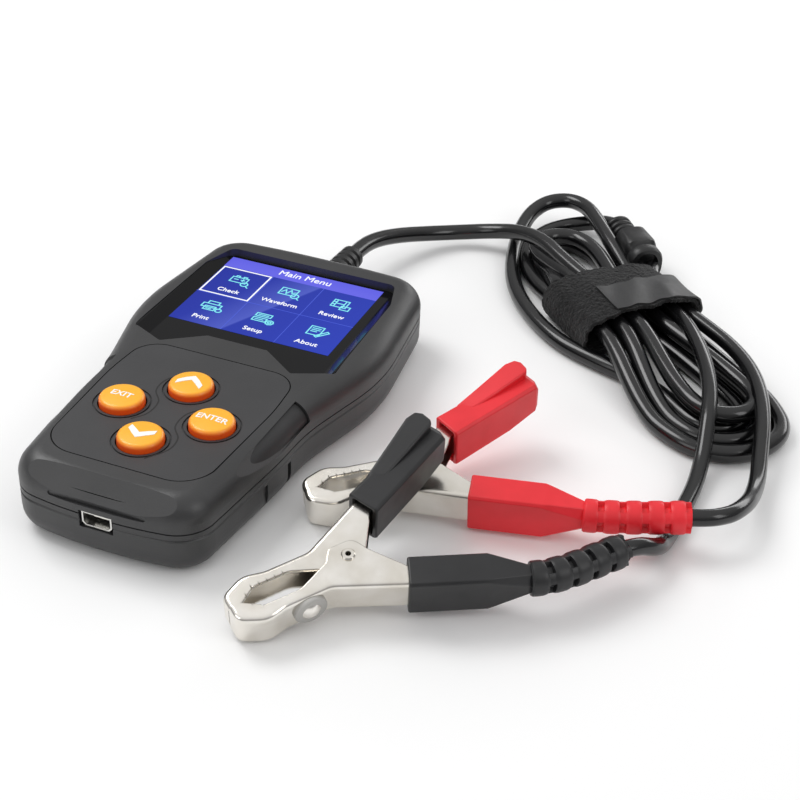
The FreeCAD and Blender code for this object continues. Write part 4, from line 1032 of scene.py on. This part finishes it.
def ring_line(x, y, radius, steps=16):
    return [(x + radius * math.cos(math.radians(360 * k / steps)),
             y + radius * math.sin(math.radians(360 * k / steps))) for k in range(steps + 1)]


def box_line(x0, y0, x1, y1):
    return box_outline(x0, y0, x1, y1) + [(x0, y0)]


def menu_icons():
    """Line icons about their own centres, each as a list of lines."""
    battery = [box_line(-2.6, -1.5, 2.6, 1.5),
               [(-1.7, 1.5), (-1.7, 2.3), (-0.7, 2.3), (-0.7, 1.5)],
               [(0.7, 1.5), (0.7, 2.3), (1.7, 2.3), (1.7, 1.5)], [(-1.6, 0.2), (-0.5, 0.2)],
               [(0.6, 0.2), (1.7, 0.2)], [(1.15, -0.35), (1.15, 0.75)],
               ring_line(2.6, -1.9, 1.1), [(3.4, -2.7), (4.3, -3.5)]]
    wave = [box_line(-2.9, -1.9, 2.4, 2.0),
            [(-2.3, -0.6), (-1.4, 1.0), (-0.6, -1.2), (0.3, 1.2), (1.0, -0.4), (1.9, 0.3)],
            ring_line(2.5, -1.8, 1.2), [(3.4, -2.7), (4.2, -3.4)]]
    review = [box_line(-2.7, -1.8, 2.0, 2.2), [(-1.7, -1.8), (-1.7, 2.2)],
              [(1.0, -1.8), (1.0, 2.2)], [(-1.7, 0.2), (1.0, 0.2)], [(-2.7, 0.9), (-1.7, 0.9)],
              [(-2.7, -0.5), (-1.7, -0.5)], box_line(0.6, -3.0, 3.4, -0.9)]
    printer = [box_line(-3.0, -1.2, 2.8, 0.9),
               [(-1.8, 0.9), (-1.8, 2.4), (1.6, 2.4), (1.6, 0.9)],
               box_line(-1.8, -2.6, 1.6, -0.5), [(-1.0, -1.2), (0.9, -1.2)],
               [(-1.0, -1.9), (0.4, -1.9)], ring_line(3.0, -2.0, 0.9)]
    setup = [box_line(-3.0, 0.7, 1.8, 2.3), [(-2.2, 1.5), (0.8, 1.5)],
             box_line(-3.0, -2.0, 1.2, -0.2), [(-2.2, -1.1), (0.2, -1.1)],
             ring_line(2.6, -1.7, 1.2, 8), ring_line(2.6, -1.7, 0.5, 8)]
    about = [box_line(-2.4, -2.2, 1.6, 2.4), [(-1.6, 1.4), (0.8, 1.4)],
             [(-1.6, 0.5), (0.8, 0.5)], [(-1.6, -0.4), (0.1, -0.4)],
             [(0.4, -2.6), (3.2, 0.8), (3.9, 0.2), (1.1, -3.1), (0.4, -2.6)]]
    return {"Check": battery, "Waveform": wave, "Review": review,
            "Print": printer, "Setup": setup, "About": about}


def add_screen():
    """Backlit menu: a title band, six tiles of line icons and the chosen tile's frame."""
    level = screen_level()
    white = glowing("screen_white", (0.95, 0.97, 1.0))
    icon = glowing("screen_icon", (0.24, 0.80, 0.85))

    def word(name, text, x, y, size):
        spot = Vector((SCREEN_CENTRE.x + x, SCREEN_CENTRE.y + y, 0))
        add_word(name, text, spot, level + WORD_LIFT, size, "handset", white)

    half_w, half_h = SCREEN_WIDTH / 2, SCREEN_HEIGHT / 2
    title_foot = half_h - TITLE_HEIGHT
    flat_piece("screen_ground", box_outline(-half_w, -half_h, half_w, half_h), level,
               backlit_blue())
    flat_piece("screen_title_band", box_outline(-half_w, title_foot, half_w, half_h),
               level + BAND_LIFT, glowing("screen_band", (0.12, 0.12, 0.72)), 0.02)
    tile_w, tile_h = SCREEN_WIDTH / 3, (SCREEN_HEIGHT - TITLE_HEIGHT) / 2
    rules = [[(-half_w + tile_w * k, -half_h), (-half_w + tile_w * k, title_foot)] for k in (1, 2)]
    rules.append([(-half_w, title_foot - tile_h), (half_w, title_foot - tile_h)])
    strokes("screen_rules", rules, 0.16, level + RULE_LIFT,
            glowing("screen_line", (0.07, 0.11, 0.62)))
    word("screen_title", "Main Menu", 0.6, half_h - 2.6, 3.6)
    for k, (label, lines) in enumerate(menu_icons().items()):
        x = -half_w + tile_w * (k % 3 + 0.5)
        y = title_foot - tile_h * (k // 3 + 0.5)
        placed = [[(x + px * ICON_SCALE, y + ICON_RISE + py * ICON_SCALE) for px, py in line]
                  for line in lines]
        strokes("icon_" + label.lower(), placed, 0.34, level + ICON_LIFT, icon)
        word("label_" + label.lower(), label, x, y - LABEL_DROP, 2.5)
    left, top = -half_w + TILE_EDGE, title_foot - TILE_EDGE
    choice = box_line(left, top - tile_h + 2 * TILE_EDGE, left + tile_w - 2 * TILE_EDGE, top)
    strokes("screen_choice", [choice], 0.42, level + CHOICE_LIFT, white)


# ------------ CAD parts' finishes

def finish_cad_parts():
    """Give every CAD node that no piece replaces its own procedural finish."""
    case, rubber, metal_plate = case_plastic(), moulded_rubber(), nickel()
    looks = {
        "front_shell": case, "rear_shell": case, "keypad_plate": keypad_plastic(),
        "display_lens": glossy_lens(), "cable_gland": rubber,
        "grip_inlay_left": moulded("grip_rubber", (0.012, 0.012, 0.013), 0.5, 0.6, 0.05),
        "rear_label": moulded("label_film", (0.42, 0.43, 0.45), 0.45, 0.8, 0.01),
        "lcd_module": moulded("lcd_frame", (0.03, 0.03, 0.035), 0.4),
        "display_gasket": moulded("foam", (0.02, 0.02, 0.02), 0.8, 0.4, 0.1),
        "keypad_mat": moulded("silicone", (0.30, 0.30, 0.31), 0.55),
        "key_switches": moulded("switch_plastic", (0.02, 0.02, 0.02), 0.5),
        "main_board": moulded("solder_mask", (0.01, 0.14, 0.05), 0.35, 0.6, 0.02),
        "usb_socket": metal("tinned_steel", (0.72, 0.71, 0.68), 0.28),
        "board_parts": moulded("chip_epoxy", (0.03, 0.03, 0.032), 0.5),
        "wire_header": moulded("header_nylon", (0.8, 0.79, 0.74), 0.5),
        "cable_cores": moulded("core_insulation", (0.5, 0.03, 0.02), 0.4),
        "case_screws": metal("zinc_plate", (0.45, 0.45, 0.46), 0.35),
        "black_sense_washer": moulded("washer_nylon", (0.42, 0.41, 0.39), 0.5, 0.5, 0.02),
        "black_spring": metal("spring_wire", (0.5, 0.49, 0.47), 0.3),
    }
    looks["grip_inlay_right"] = looks["grip_inlay_left"]
    looks["buzzer"] = looks["key_switches"]
    for colour in CLIPS:
        for part in ("fixed_jaw", "moving_jaw", "pivot", "sense_rivet"):
            looks[colour + "_" + part] = metal_plate
        looks[colour + "_sense_washer"] = looks["black_sense_washer"]
        looks[colour + "_spring"] = looks["black_spring"]
        looks[colour + "_crimp"] = looks["usb_socket"]
    for node, material in looks.items():
        mesh = NODES[node].data
        mesh.materials.clear()
        mesh.materials.append(material)


# ------------ putting it together

def add_cords():
    jacket = cable_jacket()
    route = cable_route()
    main = add_cord("tester_cable", route, MAIN_RADIUS, jacket)
    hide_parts("main_cable", "cable_hank")
    for colour, line, length in zip(("black", "red"), lead_routes(), LEAD_LENGTHS):
        lead = add_cord(colour + "_clip_lead", line, LEAD_RADIUS, jacket)
        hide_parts(colour + "_lead")


def main():
    bpy.context.scene.view_settings.view_transform = "Standard"
    add_camera()
    splitter = add_splitter(moulded_rubber())
    strap = add_strap()
    pvc = {"red": soft_pvc("red_pvc", (0.72, 0.012, 0.020), (0.85, 0.020, 0.032)),
           "black": soft_pvc("black_pvc", (0.009, 0.009, 0.010), (0.015, 0.015, 0.016))}
    for colour in CLIPS:
        cable_boot = add_cable_boot(colour, pvc[colour])
        relief = add_relief(colour, pvc[colour])
        lever, wedge = add_lever_boot(colour, pvc[colour])
        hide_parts(colour + "_cable_boot")
        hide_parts(colour + "_lever_boot")
    add_cords()
    caps, ink = key_plastic(), print_ink()
    for node in KEY_LEGENDS:
        add_key(node, caps, ink)
    add_keypad_curves()
    add_screen()
    finish_cad_parts()
    add_lights()
    add_floor()


main()
